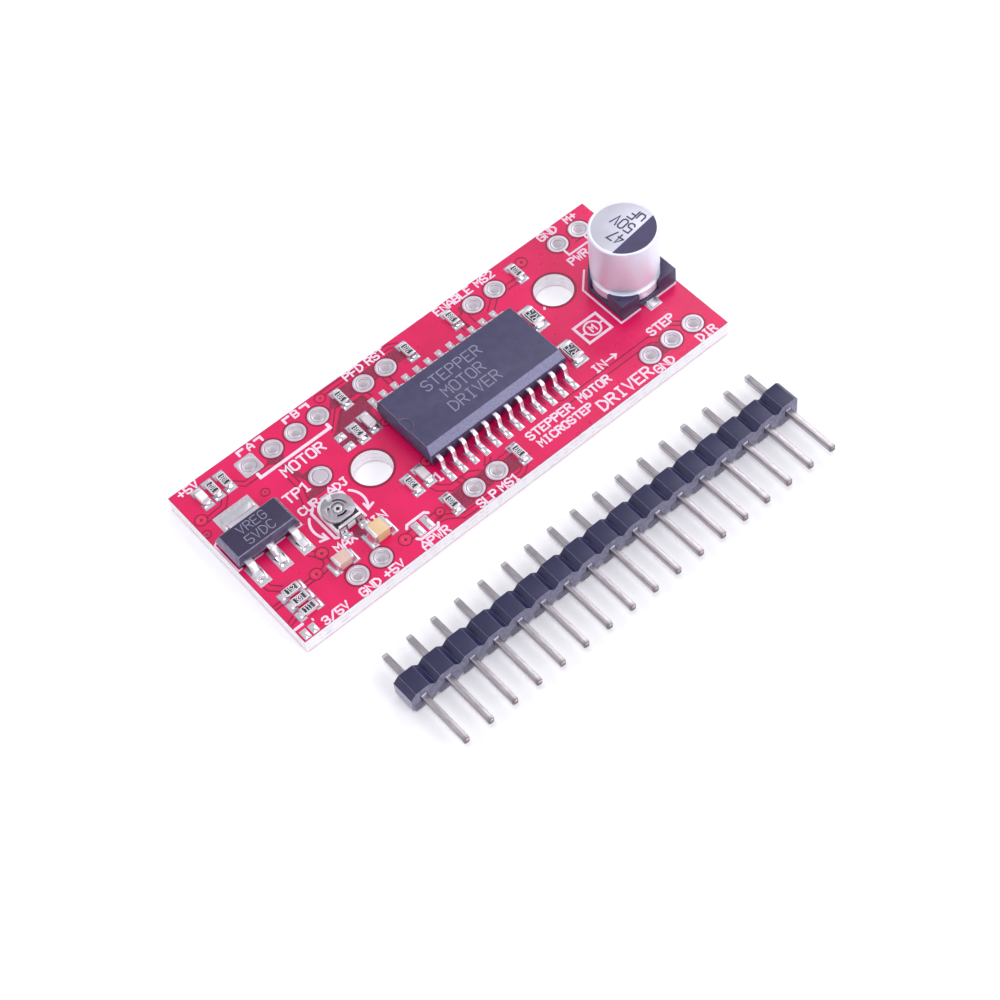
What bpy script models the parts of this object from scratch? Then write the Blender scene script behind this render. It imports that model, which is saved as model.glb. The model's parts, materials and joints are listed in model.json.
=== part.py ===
"""Stepper driver module: a small circuit board with its parts soldered on top, and a loose pin header strip.

Metres, +Z up. The origin is the centre of the board's underside. +X runs towards the capacitor,
+Y towards the row of motor pins. The header strip lies on its side on the same surface as the board.
"""

import math

import bmesh
import bpy
from mathutils import Matrix, Vector

MM = 0.001
GAP = 0.02 * MM  # clearance left between pieces that are soldered, moulded or pressed together

# board
BOARD_X, BOARD_Y, BOARD_Z = 47.6 * MM, 19.4 * MM, 1.6 * MM
PITCH = 2.54 * MM
ROW_Y = 7.62 * MM
FIRST_PIN_X = -16.61 * MM
PIN_HOLE_R = 0.525 * MM
BACK_ROW_PINS = (0, 1, 2, 3, 5, 6, 10, 11, 14, 15)
FRONT_ROW_PINS = (0, 1, 5, 6, 13, 14, 15)
MOUNT_HOLE_R = 1.85 * MM
MOUNT_HOLES = ((-8.98 * MM, 0.0), (15.12 * MM, 3.81 * MM))
SEAT_Z = BOARD_Z + GAP  # the height at which the soldered parts stand

# driver chip: a wide 24-lead case
DRIVER_AT = (2.41 * MM, 0.0)
DRIVER_CASE = (15.4 * MM, 7.5 * MM, 2.17 * MM)
DRIVER_STANDOFF = 0.2 * MM
DRIVER_DRAFT = 0.22 * MM
DRIVER_CHAMFER = 0.5 * MM
DRIVER_NOTCH_R, DRIVER_NOTCH_DEPTH = 0.8 * MM, 0.15 * MM
LEADS_PER_ROW = 12
LEAD_PITCH = 1.27 * MM
LEAD_WIDTH, LEAD_THICK = 0.42 * MM, 0.25 * MM
LEAD_LEVEL = 1.35 * MM  # middle of the lead frame above the board
LEAD_SHOULDER_Y, LEAD_FOOT_Y, LEAD_TOE_Y = 4.12 * MM, 4.42 * MM, 5.15 * MM
LEAD_BAR = (2.9 * MM, 3.3 * MM)  # the bar inside the case that holds a row together
DIE_PAD_X = 5.0 * MM
DIE_SIZE = (3.6 * MM, 3.0 * MM, 0.3 * MM)

# voltage regulator: three leads and a wide tab
REGULATOR_AT = (-20.4 * MM, 1.05 * MM)
REGULATOR_CASE = (6.5 * MM, 3.5 * MM, 1.55 * MM)
REGULATOR_STANDOFF = 0.06 * MM
REGULATOR_DRAFT = 0.32 * MM
REGULATOR_PITCH = 2.3 * MM
REGULATOR_LEAD_WIDTH, TAB_WIDTH = 0.7 * MM, 3.0 * MM
REGULATOR_LEVEL, REGULATOR_THICK = 0.85 * MM, 0.28 * MM
REGULATOR_TOE_Y = 3.5 * MM

# electrolytic capacitor
CAP_AT = (20.5 * MM, 0.12 * MM)
CAN_R, CAN_WALL = 3.15 * MM, 0.22 * MM
CAN_BOTTOM, CAN_TOP = 0.62 * MM, 7.25 * MM
GROOVE_Z, GROOVE_DEPTH, GROOVE_HALF = 2.0 * MM, 0.3 * MM, 0.38 * MM
CAP_BASE_HALF, CAP_BASE_CHAMFER = 3.22 * MM, 1.75 * MM
CAP_PLATE_TOP, CAP_POST_TOP = 0.55 * MM, 1.75 * MM
CAP_POST_GAP = 2.3 * MM  # the opening between two corner posts
CAP_LEAD_WIDTH, CAP_LEAD_THICK = 0.9 * MM, 0.2 * MM
CAP_LEAD_Y, CAP_TOE_Y = 1.25 * MM, 4.05 * MM

# current trimmer
TRIMMER_AT = (-14.04 * MM, -1.85 * MM)
TRIMMER_BASE_X = 2.84 * MM
TRIMMER_FRONT, TRIMMER_BACK = -1.74 * MM, 1.86 * MM
TRIMMER_BASE_TOP = 0.7 * MM
RIDGE_X, RIDGE_Y, RIDGE_TOP = 2.3 * MM, 0.16 * MM, 1.05 * MM
ROTOR_R, ROTOR_FLAT = 1.47 * MM, 1.3 * MM
ROTOR_Z = (0.74 * MM, 0.86 * MM, 1.12 * MM)  # underside, recessed floor, rim
ROTOR_RECESS_R, ROTOR_BORE_R = 0.58 * MM, 0.33 * MM
ROTOR_SLOT_HALF = 0.1 * MM
ROTOR_SLOTS = ((0.8 * MM, -12, 86), (0.8 * MM, 138, 168), (0.8 * MM, 230, 300))  # radius, start, end
ROTOR_NOTCH_X, ROTOR_NOTCH_Y = (-0.2 * MM, 0.36 * MM), 1.0 * MM
RIVET_R, RIVET_HEAD_R, RIVET_HOLE_R = 0.28 * MM, 0.42 * MM, 0.18 * MM
TRIMMER_LEAD_THICK = 0.12 * MM
TERMINAL_TOP, TERMINAL_RECESS = 0.52 * MM, 0.32 * MM

# small chips: (length, width, height)
CHIP_0603 = (1.6 * MM, 0.8 * MM, 0.45 * MM)
CHIP_SENSE = (2.0 * MM, 1.25 * MM, 0.55 * MM)
CHIP_SMALL_SUPPLY = (1.7 * MM, 1.2 * MM, 0.95 * MM)
CHIP_LARGE_SUPPLY = (1.9 * MM, 1.5 * MM, 1.15 * MM)
CHIP_0603_CAP = (1.6 * MM, 0.85 * MM, 0.5 * MM)
CHIP_EDGE = 0.05 * MM
LED_STEP = 0.28 * MM

# loose header strip, pins along Y, lying on its side
HEADER_AT = (-19.71 * MM, -18.98 * MM)
HEADER_PINS = 17
HEADER_DEPTH = 2.3 * MM
HEADER_HEIGHT = 2.54 * MM
HEADER_NOTCH = 0.55 * MM
HEADER_END_TRIM = 0.2 * MM  # the strip was broken off short at its right end
PIN_SIDE = 0.56 * MM
PIN_SHORT_TIP, PIN_LONG_TIP = 4.09 * MM, -6.6 * MM
PIN_TAPER = 0.14 * MM

ROUND_STEPS = 40
# turns an outline drawn in XY into one that stands in YZ, its thickness along X
STAND_IN_YZ = Matrix(((0, 0, 1, 0), (1, 0, 0, 0), (0, 1, 0, 0), (0, 0, 0, 1)))
# turns an outline drawn in XY into one that stands in XZ, its thickness along Y
STAND_IN_XZ = Matrix(((1, 0, 0, 0), (0, 0, -1, 0), (0, 1, 0, 0), (0, 0, 0, 1)))


def clear_scene():
    for scene_object in list(bpy.data.objects):
        bpy.data.objects.remove(scene_object)


clear_scene()
parts = bpy.data.collections.new("stepper_driver_module")
cutters = bpy.data.collections.new("cutters")
for collection in (parts, cutters):
    bpy.context.scene.collection.children.link(collection)


def material(name, colour, roughness, metallic=0.0):
    made = bpy.data.materials.new(name)
    made.use_nodes = True
    shader = made.node_tree.nodes["Principled BSDF"]
    shader.inputs["Base Color"].default_value = (*colour, 1.0)
    shader.inputs["Roughness"].default_value = roughness
    shader.inputs["Metallic"].default_value = metallic
    return made


SOLDER_MASK = material("solder_mask", (0.84, 0.02, 0.11), 0.35)
EPOXY = material("black_epoxy", (0.045, 0.045, 0.075), 0.55)
TINNED = material("tinned_copper", (0.72, 0.71, 0.74), 0.3, 1.0)
SILICON = material("silicon", (0.25, 0.26, 0.3), 0.2, 0.6)
CAN_METAL = material("can_aluminium", (0.8, 0.8, 0.84), 0.3, 1.0)
BASE_PLASTIC = material("base_plastic", (0.06, 0.05, 0.09), 0.5)
RUBBER = material("seal_rubber", (0.03, 0.03, 0.03), 0.8)
FOIL = material("wound_foil", (0.45, 0.4, 0.33), 0.6)
CERAMIC = material("ceramic", (0.85, 0.84, 0.86), 0.4)
ROTOR_METAL = material("rotor_steel", (0.55, 0.53, 0.56), 0.35, 1.0)
BRASS = material("rivet_brass", (0.75, 0.7, 0.6), 0.3, 1.0)
RESISTOR = material("resistor_coat", (0.03, 0.03, 0.04), 0.45)
TAN_CERAMIC = material("tan_ceramic", (0.6, 0.42, 0.27), 0.5)
LED_LENS = material("led_lens", (0.9, 0.9, 0.88), 0.3)
HEADER_PLASTIC = material("header_plastic", (0.02, 0.02, 0.06), 0.45)
PIN_METAL = material("pin_metal", (0.5, 0.47, 0.48), 0.3, 1.0)


def add(name, mesh, finish=None, at=(0, 0, 0), collection=parts):
    """A new object from a mesh, in its collection."""
    made = bpy.data.objects.new(name, mesh)
    made.location = at
    collection.objects.link(made)
    if finish:
        mesh.materials.append(finish)
    return made


def mesh_from(bm, name):
    bmesh.ops.recalc_face_normals(bm, faces=bm.faces)
    mesh = bpy.data.meshes.new(name)
    bm.to_mesh(mesh)
    bm.free()
    return mesh


def block_mesh(name, low, high, bevel=0.0):
    """A box between two corners, its edges chamfered."""
    low, high = Vector(low), Vector(high)
    bm = bmesh.new()
    bmesh.ops.create_cube(bm, size=1.0)
    bmesh.ops.scale(bm, vec=high - low, verts=bm.verts)
    bmesh.ops.translate(bm, vec=(low + high) / 2, verts=bm.verts)
    if bevel:
        bmesh.ops.bevel(bm, geom=bm.edges[:], offset=bevel, segments=1, affect="EDGES")
    return mesh_from(bm, name)


def blocks_mesh(name, corner_pairs):
    """Several separate boxes in one mesh, used as a cutter."""
    bm = bmesh.new()
    for low, high in corner_pairs:
        low, high = Vector(low), Vector(high)
        cube = bmesh.ops.create_cube(bm, size=1.0)["verts"]
        bmesh.ops.scale(bm, vec=high - low, verts=cube)
        bmesh.ops.translate(bm, vec=(low + high) / 2, verts=cube)
    return mesh_from(bm, name)


def rods_mesh(name, centres, radius, low_z, high_z, steps=ROUND_STEPS):
    """Upright cylinders in one mesh."""
    bm = bmesh.new()
    for x, y in centres:
        rod = bmesh.ops.create_cone(
            bm, cap_ends=True, segments=steps, radius1=radius, radius2=radius, depth=high_z - low_z
        )["verts"]
        bmesh.ops.translate(bm, vec=(x, y, (low_z + high_z) / 2), verts=rod)
    return mesh_from(bm, name)


def outline_mesh(name, points, thickness):
    """A flat outline in XY, as a filled 2D curve with thickness about z = 0, made into a closed mesh."""
    curve = bpy.data.curves.new(name, "CURVE")
    curve.dimensions = "2D"
    curve.fill_mode = "BOTH"
    curve.extrude = thickness / 2
    spline = curve.splines.new("POLY")
    spline.points.add(len(points) - 1)
    for point, (x, y) in zip(spline.points, points):
        point.co = (x, y, 0.0, 1.0)
    spline.use_cyclic_u = True
    holder = bpy.data.objects.new(name, curve)
    bpy.context.scene.collection.objects.link(holder)
    graph = bpy.context.evaluated_depsgraph_get()
    mesh = bpy.data.meshes.new_from_object(holder.evaluated_get(graph))
    bpy.data.objects.remove(holder)
    bm = bmesh.new()
    bm.from_mesh(mesh)
    bmesh.ops.remove_doubles(bm, verts=bm.verts, dist=0.001 * MM)
    for side in (-1, 1):
        level = side * thickness / 2
        cap = [face for face in bm.faces if all(abs(v.co.z - level) < thickness / 100 for v in face.verts)]
        bmesh.ops.dissolve_faces(bm, faces=cap)
    bmesh.ops.recalc_face_normals(bm, faces=bm.faces)
    bm.to_mesh(mesh)
    bm.free()
    mesh.shade_flat()
    return mesh


def strip_mesh(name, path, thickness, width):
    """A bent metal strip: a centre line in YZ, with a thickness, swept along X by its width."""
    line = [Vector(point) for point in path]
    left, right = [], []
    for index, point in enumerate(line):
        before = (point - line[index - 1]).normalized() if index else None
        after = (line[index + 1] - point).normalized() if index + 1 < len(line) else None
        tangent = ((before or after) + (after or before)).normalized()
        normal = Vector((-tangent.y, tangent.x))
        half_bend = normal.dot(Vector((-(before or after).y, (before or after).x)))
        left.append(point + normal * thickness / 2 / half_bend)
        right.append(point - normal * thickness / 2 / half_bend)
    mesh = outline_mesh(name, [tuple(p) for p in left + right[::-1]], width)
    mesh.transform(STAND_IN_YZ)
    return mesh


def turned(name, profile, finish, at, steps=ROUND_STEPS):
    """A profile of (radius, height) points, top to bottom down its outer side, turned about Z."""
    mesh = bpy.data.meshes.new(name)
    edges = [(index, index + 1) for index in range(len(profile) - 1)]
    if profile[0][0] and profile[-1][0]:
        edges.append((len(profile) - 1, 0))
    mesh.from_pydata([(radius, 0.0, height) for radius, height in profile], edges, [])
    made = add(name, mesh, finish, at)
    screw = made.modifiers.new("turn", "SCREW")
    screw.steps = screw.render_steps = steps
    screw.use_merge_vertices = True
    screw.merge_threshold = 0.001 * MM
    return made


def cut(target, cutter_mesh, at=None):
    """Cut a mesh out of an object."""
    name = f"cut_{target.name}_{len(target.modifiers)}"
    cutter = add(name, cutter_mesh, at=target.location if at is None else at, collection=cutters)
    cutter.hide_render = True
    cutter.display_type = "WIRE"
    modifier = target.modifiers.new(name, "BOOLEAN")
    modifier.object = cutter
    modifier.solver = "EXACT"
    return modifier


def smooth_round(made, angle=40):
    made.data.shade_smooth()
    made.data.set_sharp_from_angle(angle=math.radians(angle))


def moulded_case(name, size, draft, parting, finish, at):
    """A moulded case whose sides lean in above and below the parting line. Its base is at z = 0."""
    length, width, height = size
    bm = bmesh.new()
    bmesh.ops.create_cube(bm, size=1.0)
    bmesh.ops.scale(bm, vec=size, verts=bm.verts)
    bmesh.ops.translate(bm, vec=(0, 0, height / 2), verts=bm.verts)
    bmesh.ops.bisect_plane(bm, geom=bm.verts[:] + bm.edges[:] + bm.faces[:],
                           plane_co=(0, 0, parting), plane_no=(0, 0, 1))
    for vert in bm.verts:
        if abs(vert.co.z - parting) > GAP:
            vert.co.x -= math.copysign(draft, vert.co.x)
            vert.co.y -= math.copysign(draft, vert.co.y)
    return add(name, mesh_from(bm, name), finish, at)


def make_board():
    low = (-BOARD_X / 2, -BOARD_Y / 2, 0)
    high = (BOARD_X / 2, BOARD_Y / 2, BOARD_Z)
    board = add("pcb", block_mesh("pcb", low, high), SOLDER_MASK)
    margin = BOARD_Z / 2
    pins = [(FIRST_PIN_X + PITCH * n, ROW_Y) for n in BACK_ROW_PINS]
    pins += [(FIRST_PIN_X + PITCH * n, -ROW_Y) for n in FRONT_ROW_PINS]
    cut(board, rods_mesh("pin_holes", pins, PIN_HOLE_R, -margin, BOARD_Z + margin, 20))
    cut(board, rods_mesh("mount_holes", MOUNT_HOLES, MOUNT_HOLE_R, -margin, BOARD_Z + margin, 40))


def lead_row_path():
    """Centre line of a gull-wing lead in (y, z), from inside the case out to its toe."""
    foot = LEAD_THICK / 2
    soft = 0.12 * MM
    return [
        (LEAD_BAR[0], LEAD_LEVEL),
        (LEAD_SHOULDER_Y, LEAD_LEVEL),
        (LEAD_SHOULDER_Y + soft, LEAD_LEVEL - soft),
        (LEAD_FOOT_Y - soft / 3, foot + soft),
        (LEAD_FOOT_Y + soft, foot),
        (LEAD_TOE_Y, foot),
    ]


def lead_centres():
    half = (LEADS_PER_ROW - 1) / 2
    return [(index - half) * LEAD_PITCH for index in range(LEADS_PER_ROW)]


def comb_outline(side):
    """The lead frame's plan where it runs inside the case: a bar with twelve teeth out through the wall."""
    inner, bar = LEAD_BAR[0] - GAP, LEAD_BAR[1] + GAP
    outer = LEAD_SHOULDER_Y
    half = LEAD_WIDTH / 2 + GAP
    first, last = lead_centres()[0] - half, lead_centres()[-1] + half
    points = [(last, inner), (first, inner)]
    for centre in lead_centres():
        points += [(centre - half, bar), (centre - half, outer), (centre + half, outer), (centre + half, bar)]
    # the bar's ends are flush with the outermost teeth, so its own corners there are left out
    del points[2], points[-1]
    return [(x, side * y) for x, y in points]


def make_driver():
    base = SEAT_Z + DRIVER_STANDOFF
    at = Vector((*DRIVER_AT, base))
    case = moulded_case("driver_case", DRIVER_CASE, DRIVER_DRAFT, LEAD_LEVEL - DRIVER_STANDOFF, EPOXY, at)
    length, width, height = DRIVER_CASE

    # the long top edge on the pin 1 side is chamfered, and a half-round notch marks that end
    side_y = width / 2 - DRIVER_DRAFT
    wedge = [
        (-side_y - DRIVER_CHAMFER, height - DRIVER_CHAMFER * 2),
        (-side_y + DRIVER_CHAMFER, height),
        (-side_y + DRIVER_CHAMFER, height + DRIVER_CHAMFER),
        (-side_y - DRIVER_CHAMFER, height + DRIVER_CHAMFER),
    ]
    wedge_mesh = outline_mesh("driver_chamfer", wedge, length * 1.1)
    wedge_mesh.transform(STAND_IN_YZ)
    cut(case, wedge_mesh)
    notch_x = -length / 2 + DRIVER_DRAFT
    cut(case, rods_mesh("driver_notch", [(notch_x, 0)], DRIVER_NOTCH_R,
                        height - DRIVER_NOTCH_DEPTH, height + DRIVER_NOTCH_DEPTH, 32))

    row_length = lead_centres()[-1] - lead_centres()[0] + LEAD_WIDTH
    slot_z = LEAD_LEVEL - DRIVER_STANDOFF
    for name, side in (("driver_leads_front", -1), ("driver_leads_back", 1)):
        path = [(side * y, z) for y, z in lead_row_path()]
        row = add(name, strip_mesh(name, path, LEAD_THICK, row_length), TINNED, (*DRIVER_AT, SEAT_Z))
        gaps = []
        for left, right in zip(lead_centres(), lead_centres()[1:]):
            y_ends = sorted((side * LEAD_BAR[1], side * (LEAD_TOE_Y + LEAD_PITCH)))
            gaps.append(((left + LEAD_WIDTH / 2, y_ends[0], -LEAD_LEVEL),
                         (right - LEAD_WIDTH / 2, y_ends[1], LEAD_LEVEL * 2)))
        cut(row, blocks_mesh(name + "_gaps", gaps))
        comb = outline_mesh(name + "_comb", comb_outline(side), LEAD_THICK + 2 * GAP)
        cut(case, comb, at + Vector((0, 0, slot_z)))

    # the die on its pad, in the middle of the case and level with the lead frame
    pad_y = LEAD_BAR[0] - 3 * GAP
    pad_low = Vector((-DIE_PAD_X / 2, -pad_y, LEAD_LEVEL - LEAD_THICK / 2))
    pad_high = Vector((DIE_PAD_X / 2, pad_y, LEAD_LEVEL + LEAD_THICK / 2))
    die_low = Vector((-DIE_SIZE[0] / 2, -DIE_SIZE[1] / 2, pad_high.z + GAP))
    die_high = Vector((DIE_SIZE[0] / 2, DIE_SIZE[1] / 2, pad_high.z + GAP + DIE_SIZE[2]))
    seat = (*DRIVER_AT, SEAT_Z)
    add("driver_die_pad", block_mesh("driver_die_pad", pad_low, pad_high), TINNED, seat)
    add("driver_die", block_mesh("driver_die", die_low, die_high), SILICON, seat)
    around = Vector((GAP, GAP, GAP))
    reach = Vector((0, 5 * GAP, 0))
    cut(case, block_mesh("pad_pocket", pad_low - around - reach, pad_high + around + reach), seat)
    cut(case, block_mesh("die_pocket", die_low - around * 2, die_high + around), seat)


def make_regulator():
    base = SEAT_Z + REGULATOR_STANDOFF
    at = Vector((*REGULATOR_AT, base))
    seat = Vector((*REGULATOR_AT, SEAT_Z))
    parting = REGULATOR_LEVEL - REGULATOR_STANDOFF
    case = moulded_case("regulator_case", REGULATOR_CASE, REGULATOR_DRAFT, parting, EPOXY, at)
    half_y = REGULATOR_CASE[1] / 2
    foot = REGULATOR_THICK / 2
    wing = [
        (half_y + 0.35 * MM, REGULATOR_LEVEL),
        (half_y + 0.6 * MM, REGULATOR_LEVEL - 0.22 * MM),
        (half_y + 0.8 * MM, foot + 0.12 * MM),
        (half_y + 0.95 * MM, foot),
        (REGULATOR_TOE_Y, foot),
    ]
    front_wing = [(-y, z) for y, z in wing]

    # the tab, the pad inside the case and the middle lead are one strip
    tab = add("regulator_tab", strip_mesh("regulator_tab", wing[::-1] + front_wing, REGULATOR_THICK, TAB_WIDTH),
              TINNED, seat)
    step_y = -half_y + 0.9 * MM
    trims = []
    for side in (-1, 1):
        xs = sorted((side * REGULATOR_LEAD_WIDTH / 2, side * TAB_WIDTH))
        trims.append(((xs[0], -2 * REGULATOR_TOE_Y, -REGULATOR_TOE_Y), (xs[1], step_y, REGULATOR_TOE_Y)))
    cut(tab, blocks_mesh("tab_trims", trims))

    inner_y = -half_y + 0.5 * MM
    stub = [(inner_y, REGULATOR_LEVEL)] + front_wing
    for name, side in (("regulator_lead_input", -1), ("regulator_lead_adjust", 1)):
        lead_at = seat + Vector((side * REGULATOR_PITCH, 0, 0))
        add(name, strip_mesh(name, stub, REGULATOR_THICK, REGULATOR_LEAD_WIDTH), TINNED, lead_at)

    # pockets in the moulding for the three metal pieces
    low_z, high_z = REGULATOR_LEVEL - foot - GAP, REGULATOR_LEVEL + foot + GAP
    reach = half_y + 0.3 * MM
    pockets = [((-TAB_WIDTH / 2 - GAP, step_y - GAP, low_z), (TAB_WIDTH / 2 + GAP, reach, high_z))]
    cut(case, blocks_mesh("tab_pocket", pockets), seat)
    half_lead = REGULATOR_LEAD_WIDTH / 2 + GAP
    for side, inner in ((-1, inner_y), (0, step_y + GAP), (1, inner_y)):
        x = side * REGULATOR_PITCH
        pocket = ((x - half_lead, -reach, low_z), (x + half_lead, inner + GAP, high_z))
        cut(case, blocks_mesh("lead_pocket", [pocket]), seat)


def make_capacitor():
    seat = Vector((*CAP_AT, SEAT_Z))
    inner_r = CAN_R - CAN_WALL
    rim = 0.35 * MM
    curl = 0.16 * MM
    arc = [(CAN_R - rim + rim * math.sin(a), CAN_TOP - rim + rim * math.cos(a))
           for a in (math.radians(22.5 * step) for step in range(5))]
    groove = []
    for step in range(7):
        turn = math.pi * step / 6
        groove.append((-GROOVE_DEPTH * math.sin(turn), GROOVE_HALF * math.cos(turn)))
    outer = [(CAN_R + r, GROOVE_Z + z) for r, z in groove]
    inner = [(inner_r + r, GROOVE_Z + z) for r, z in groove[::-1]]
    profile = [(0.0, CAN_TOP)] + arc + outer
    profile += [(CAN_R, CAN_BOTTOM + curl), (CAN_R - curl / 2, CAN_BOTTOM), (inner_r, CAN_BOTTOM)]
    profile += inner + [(inner_r, CAN_TOP - rim), (inner_r - rim / 2, CAN_TOP - CAN_WALL), (0.0, CAN_TOP - CAN_WALL)]
    smooth_round(turned("cap_can", profile, CAN_METAL, seat))

    # rubber seal in the can's mouth and the wound element above it
    seal_r = inner_r - GROOVE_DEPTH - GAP
    seal_z = (CAN_BOTTOM + 0.15 * MM, GROOVE_Z + 0.6 * MM)
    seal = turned("cap_seal", [(0.0, seal_z[1]), (seal_r, seal_z[1]), (seal_r, seal_z[0]), (0.0, seal_z[0])],
                  RUBBER, seat)
    coil_r = inner_r - 0.15 * MM
    coil_z = (seal_z[1] + 0.1 * MM, CAN_TOP - 0.6 * MM)
    mandrel_r = 0.4 * MM
    coil = [(coil_r, coil_z[1]), (coil_r, coil_z[0]), (mandrel_r, coil_z[0]), (mandrel_r, coil_z[1])]
    smooth_round(turned("cap_wound_element", coil, FOIL, seat, 32))

    # base with chamfered corners on the positive side, and four corner posts round the can
    half, chamfer = CAP_BASE_HALF, CAP_BASE_CHAMFER
    plan = [(-half, -half), (half, -half), (half, half - chamfer), (half - chamfer, half),
            (-half + chamfer, half), (-half, half - chamfer)]
    base = add("cap_base", outline_mesh("cap_base", plan, CAP_POST_TOP), BASE_PLASTIC,
               seat + Vector((0, 0, CAP_POST_TOP / 2)))
    top = 2 * CAP_POST_TOP
    cut(base, rods_mesh("cap_seat", [(0, 0)], CAN_R + 0.05 * MM, CAP_PLATE_TOP, top), seat)
    gap = CAP_POST_GAP / 2
    cut(base, block_mesh("post_gap_y", (-gap, -2 * half, CAP_PLATE_TOP), (gap, 2 * half, top)), seat)
    cut(base, block_mesh("post_gap_x", (-2 * half, -gap, CAP_PLATE_TOP), (2 * half, gap, top)), seat)

    # two leads come down out of the seal and turn outwards in channels under the base
    lead_half = CAP_LEAD_WIDTH / 2
    foot = CAP_LEAD_THICK / 2
    lead_top = seal_z[1] - 0.5 * MM
    for name, side in (("cap_lead_negative", -1), ("cap_lead_positive", 1)):
        path = [(side * CAP_LEAD_Y, lead_top), (side * CAP_LEAD_Y, foot), (side * CAP_TOE_Y, foot)]
        add(name, strip_mesh(name, path, CAP_LEAD_THICK, CAP_LEAD_WIDTH), TINNED, seat)
        shaft_y = sorted((side * (CAP_LEAD_Y - foot - GAP), side * (CAP_LEAD_Y + foot + GAP)))
        shaft = ((-lead_half - GAP, shaft_y[0], -foot), (lead_half + GAP, shaft_y[1], lead_top + GAP))
        channel_y = sorted((side * (CAP_LEAD_Y - foot - GAP), side * 2 * half))
        channel = ((-lead_half - GAP, channel_y[0], -foot), (lead_half + GAP, channel_y[1], 2 * foot + GAP))
        cut(seal, blocks_mesh("lead_shaft", [shaft]), seat)
        cut(base, blocks_mesh("lead_shaft", [shaft]), seat)
        cut(base, blocks_mesh("lead_channel", [channel]), seat)
    smooth_round(seal)


def make_trimmer():
    seat = Vector((*TRIMMER_AT, SEAT_Z))
    half = TRIMMER_BASE_X / 2
    corner = 1.1 * MM
    plan = [(-half, TRIMMER_FRONT), (half, TRIMMER_FRONT)]
    for centre_x, start in ((half - corner, 0), (corner - half, 90)):
        for step in range(5):
            angle = math.radians(start + 22.5 * step)
            plan.append((centre_x + corner * math.cos(angle), TRIMMER_BACK - corner + corner * math.sin(angle)))
    base = add("trimmer_base", outline_mesh("trimmer_base", plan, RIDGE_TOP), CERAMIC,
               seat + Vector((0, 0, RIDGE_TOP / 2)))
    high = 2 * RIDGE_TOP
    ridge_back = TRIMMER_FRONT + 0.05 * MM + RIDGE_Y
    cut(base, block_mesh("rotor_space", (-2 * half, ridge_back, TRIMMER_BASE_TOP),
                         (2 * half, 3 * half, high)), seat)
    ridge_half = RIDGE_X / 2
    cut(base, blocks_mesh("ridge_ends", [
        ((-2 * half, 2 * TRIMMER_FRONT, TRIMMER_BASE_TOP), (-ridge_half, 0, high)),
        ((ridge_half, 2 * TRIMMER_FRONT, TRIMMER_BASE_TOP), (2 * half, 0, high)),
    ]), seat)

    # the rivet stands in a stepped hole and the rotor turns on it
    head_seat = ROTOR_Z[1] + GAP
    head_top = head_seat + 0.13 * MM
    flange_r, flange_z = 0.5 * MM, (0.1 * MM, 0.22 * MM)
    cut(base, rods_mesh("rivet_hole", [(0, 0)], RIVET_R + GAP, -high, high, 24), seat)
    cut(base, rods_mesh("flange_hole", [(0, 0)], flange_r + GAP, -high, flange_z[1] + GAP, 24), seat)
    rivet = [
        (0.0, head_top - 0.2 * MM), (RIVET_HOLE_R, head_top - 0.2 * MM), (RIVET_HOLE_R, head_top),
        (RIVET_HEAD_R - 0.05 * MM, head_top), (RIVET_HEAD_R, head_top - 0.05 * MM), (RIVET_HEAD_R, head_seat),
        (RIVET_R, head_seat), (RIVET_R, flange_z[1]), (flange_r, flange_z[1]), (flange_r, flange_z[0]),
        (0.0, flange_z[0]),
    ]
    smooth_round(turned("trimmer_rivet", rivet, BRASS, seat, 24))

    rotor = add("trimmer_rotor", rods_mesh("trimmer_rotor", [(0, 0)], ROTOR_R, ROTOR_Z[0], ROTOR_Z[2]),
                ROTOR_METAL, seat)
    cut(rotor, rods_mesh("rotor_recess", [(0, 0)], ROTOR_RECESS_R, ROTOR_Z[1], high, 32))
    cut(rotor, rods_mesh("rotor_bore", [(0, 0)], ROTOR_BORE_R, -high, high, 24))
    cut(rotor, block_mesh("rotor_flat", (-3 * half, -3 * half, 0), (3 * half, -ROTOR_FLAT, high)))
    for radius, start, end in ROTOR_SLOTS:
        cut(rotor, outline_mesh("driver_slot", ring_sector(radius, ROTOR_SLOT_HALF, start, end), 2 * high))
    cut(rotor, block_mesh("rim_notch", (ROTOR_NOTCH_X[0], ROTOR_NOTCH_Y, 0), (ROTOR_NOTCH_X[1], 3 * half, high)))
    smooth_round(rotor)

    # three terminals with their feet turned out: the front two stand in notches in the base's wall
    thick = TRIMMER_LEAD_THICK
    clear = GAP + thick / 2
    for name, x, width, wall, foot in (
        ("trimmer_terminal_left", -0.85 * MM, 0.62 * MM, TRIMMER_FRONT + TERMINAL_RECESS - clear, -0.34 * MM),
        ("trimmer_terminal_right", 0.95 * MM, 0.62 * MM, TRIMMER_FRONT + TERMINAL_RECESS - clear, -0.34 * MM),
        ("trimmer_terminal_wiper", 0.15 * MM, 0.9 * MM, TRIMMER_BACK + clear, 0.3 * MM),
    ):
        path = [(wall + foot, thick / 2), (wall, thick / 2), (wall, TERMINAL_TOP)]
        add(name, strip_mesh(name, path, thick, width), TINNED, seat + Vector((x, 0, 0)))
        if foot < 0:
            notch_half = width / 2 + GAP
            notch = ((x - notch_half, 2 * TRIMMER_FRONT, -thick),
                     (x + notch_half, TRIMMER_FRONT + TERMINAL_RECESS, TERMINAL_TOP + GAP))
            cut(base, blocks_mesh("terminal_notch", [notch]), seat)


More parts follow.
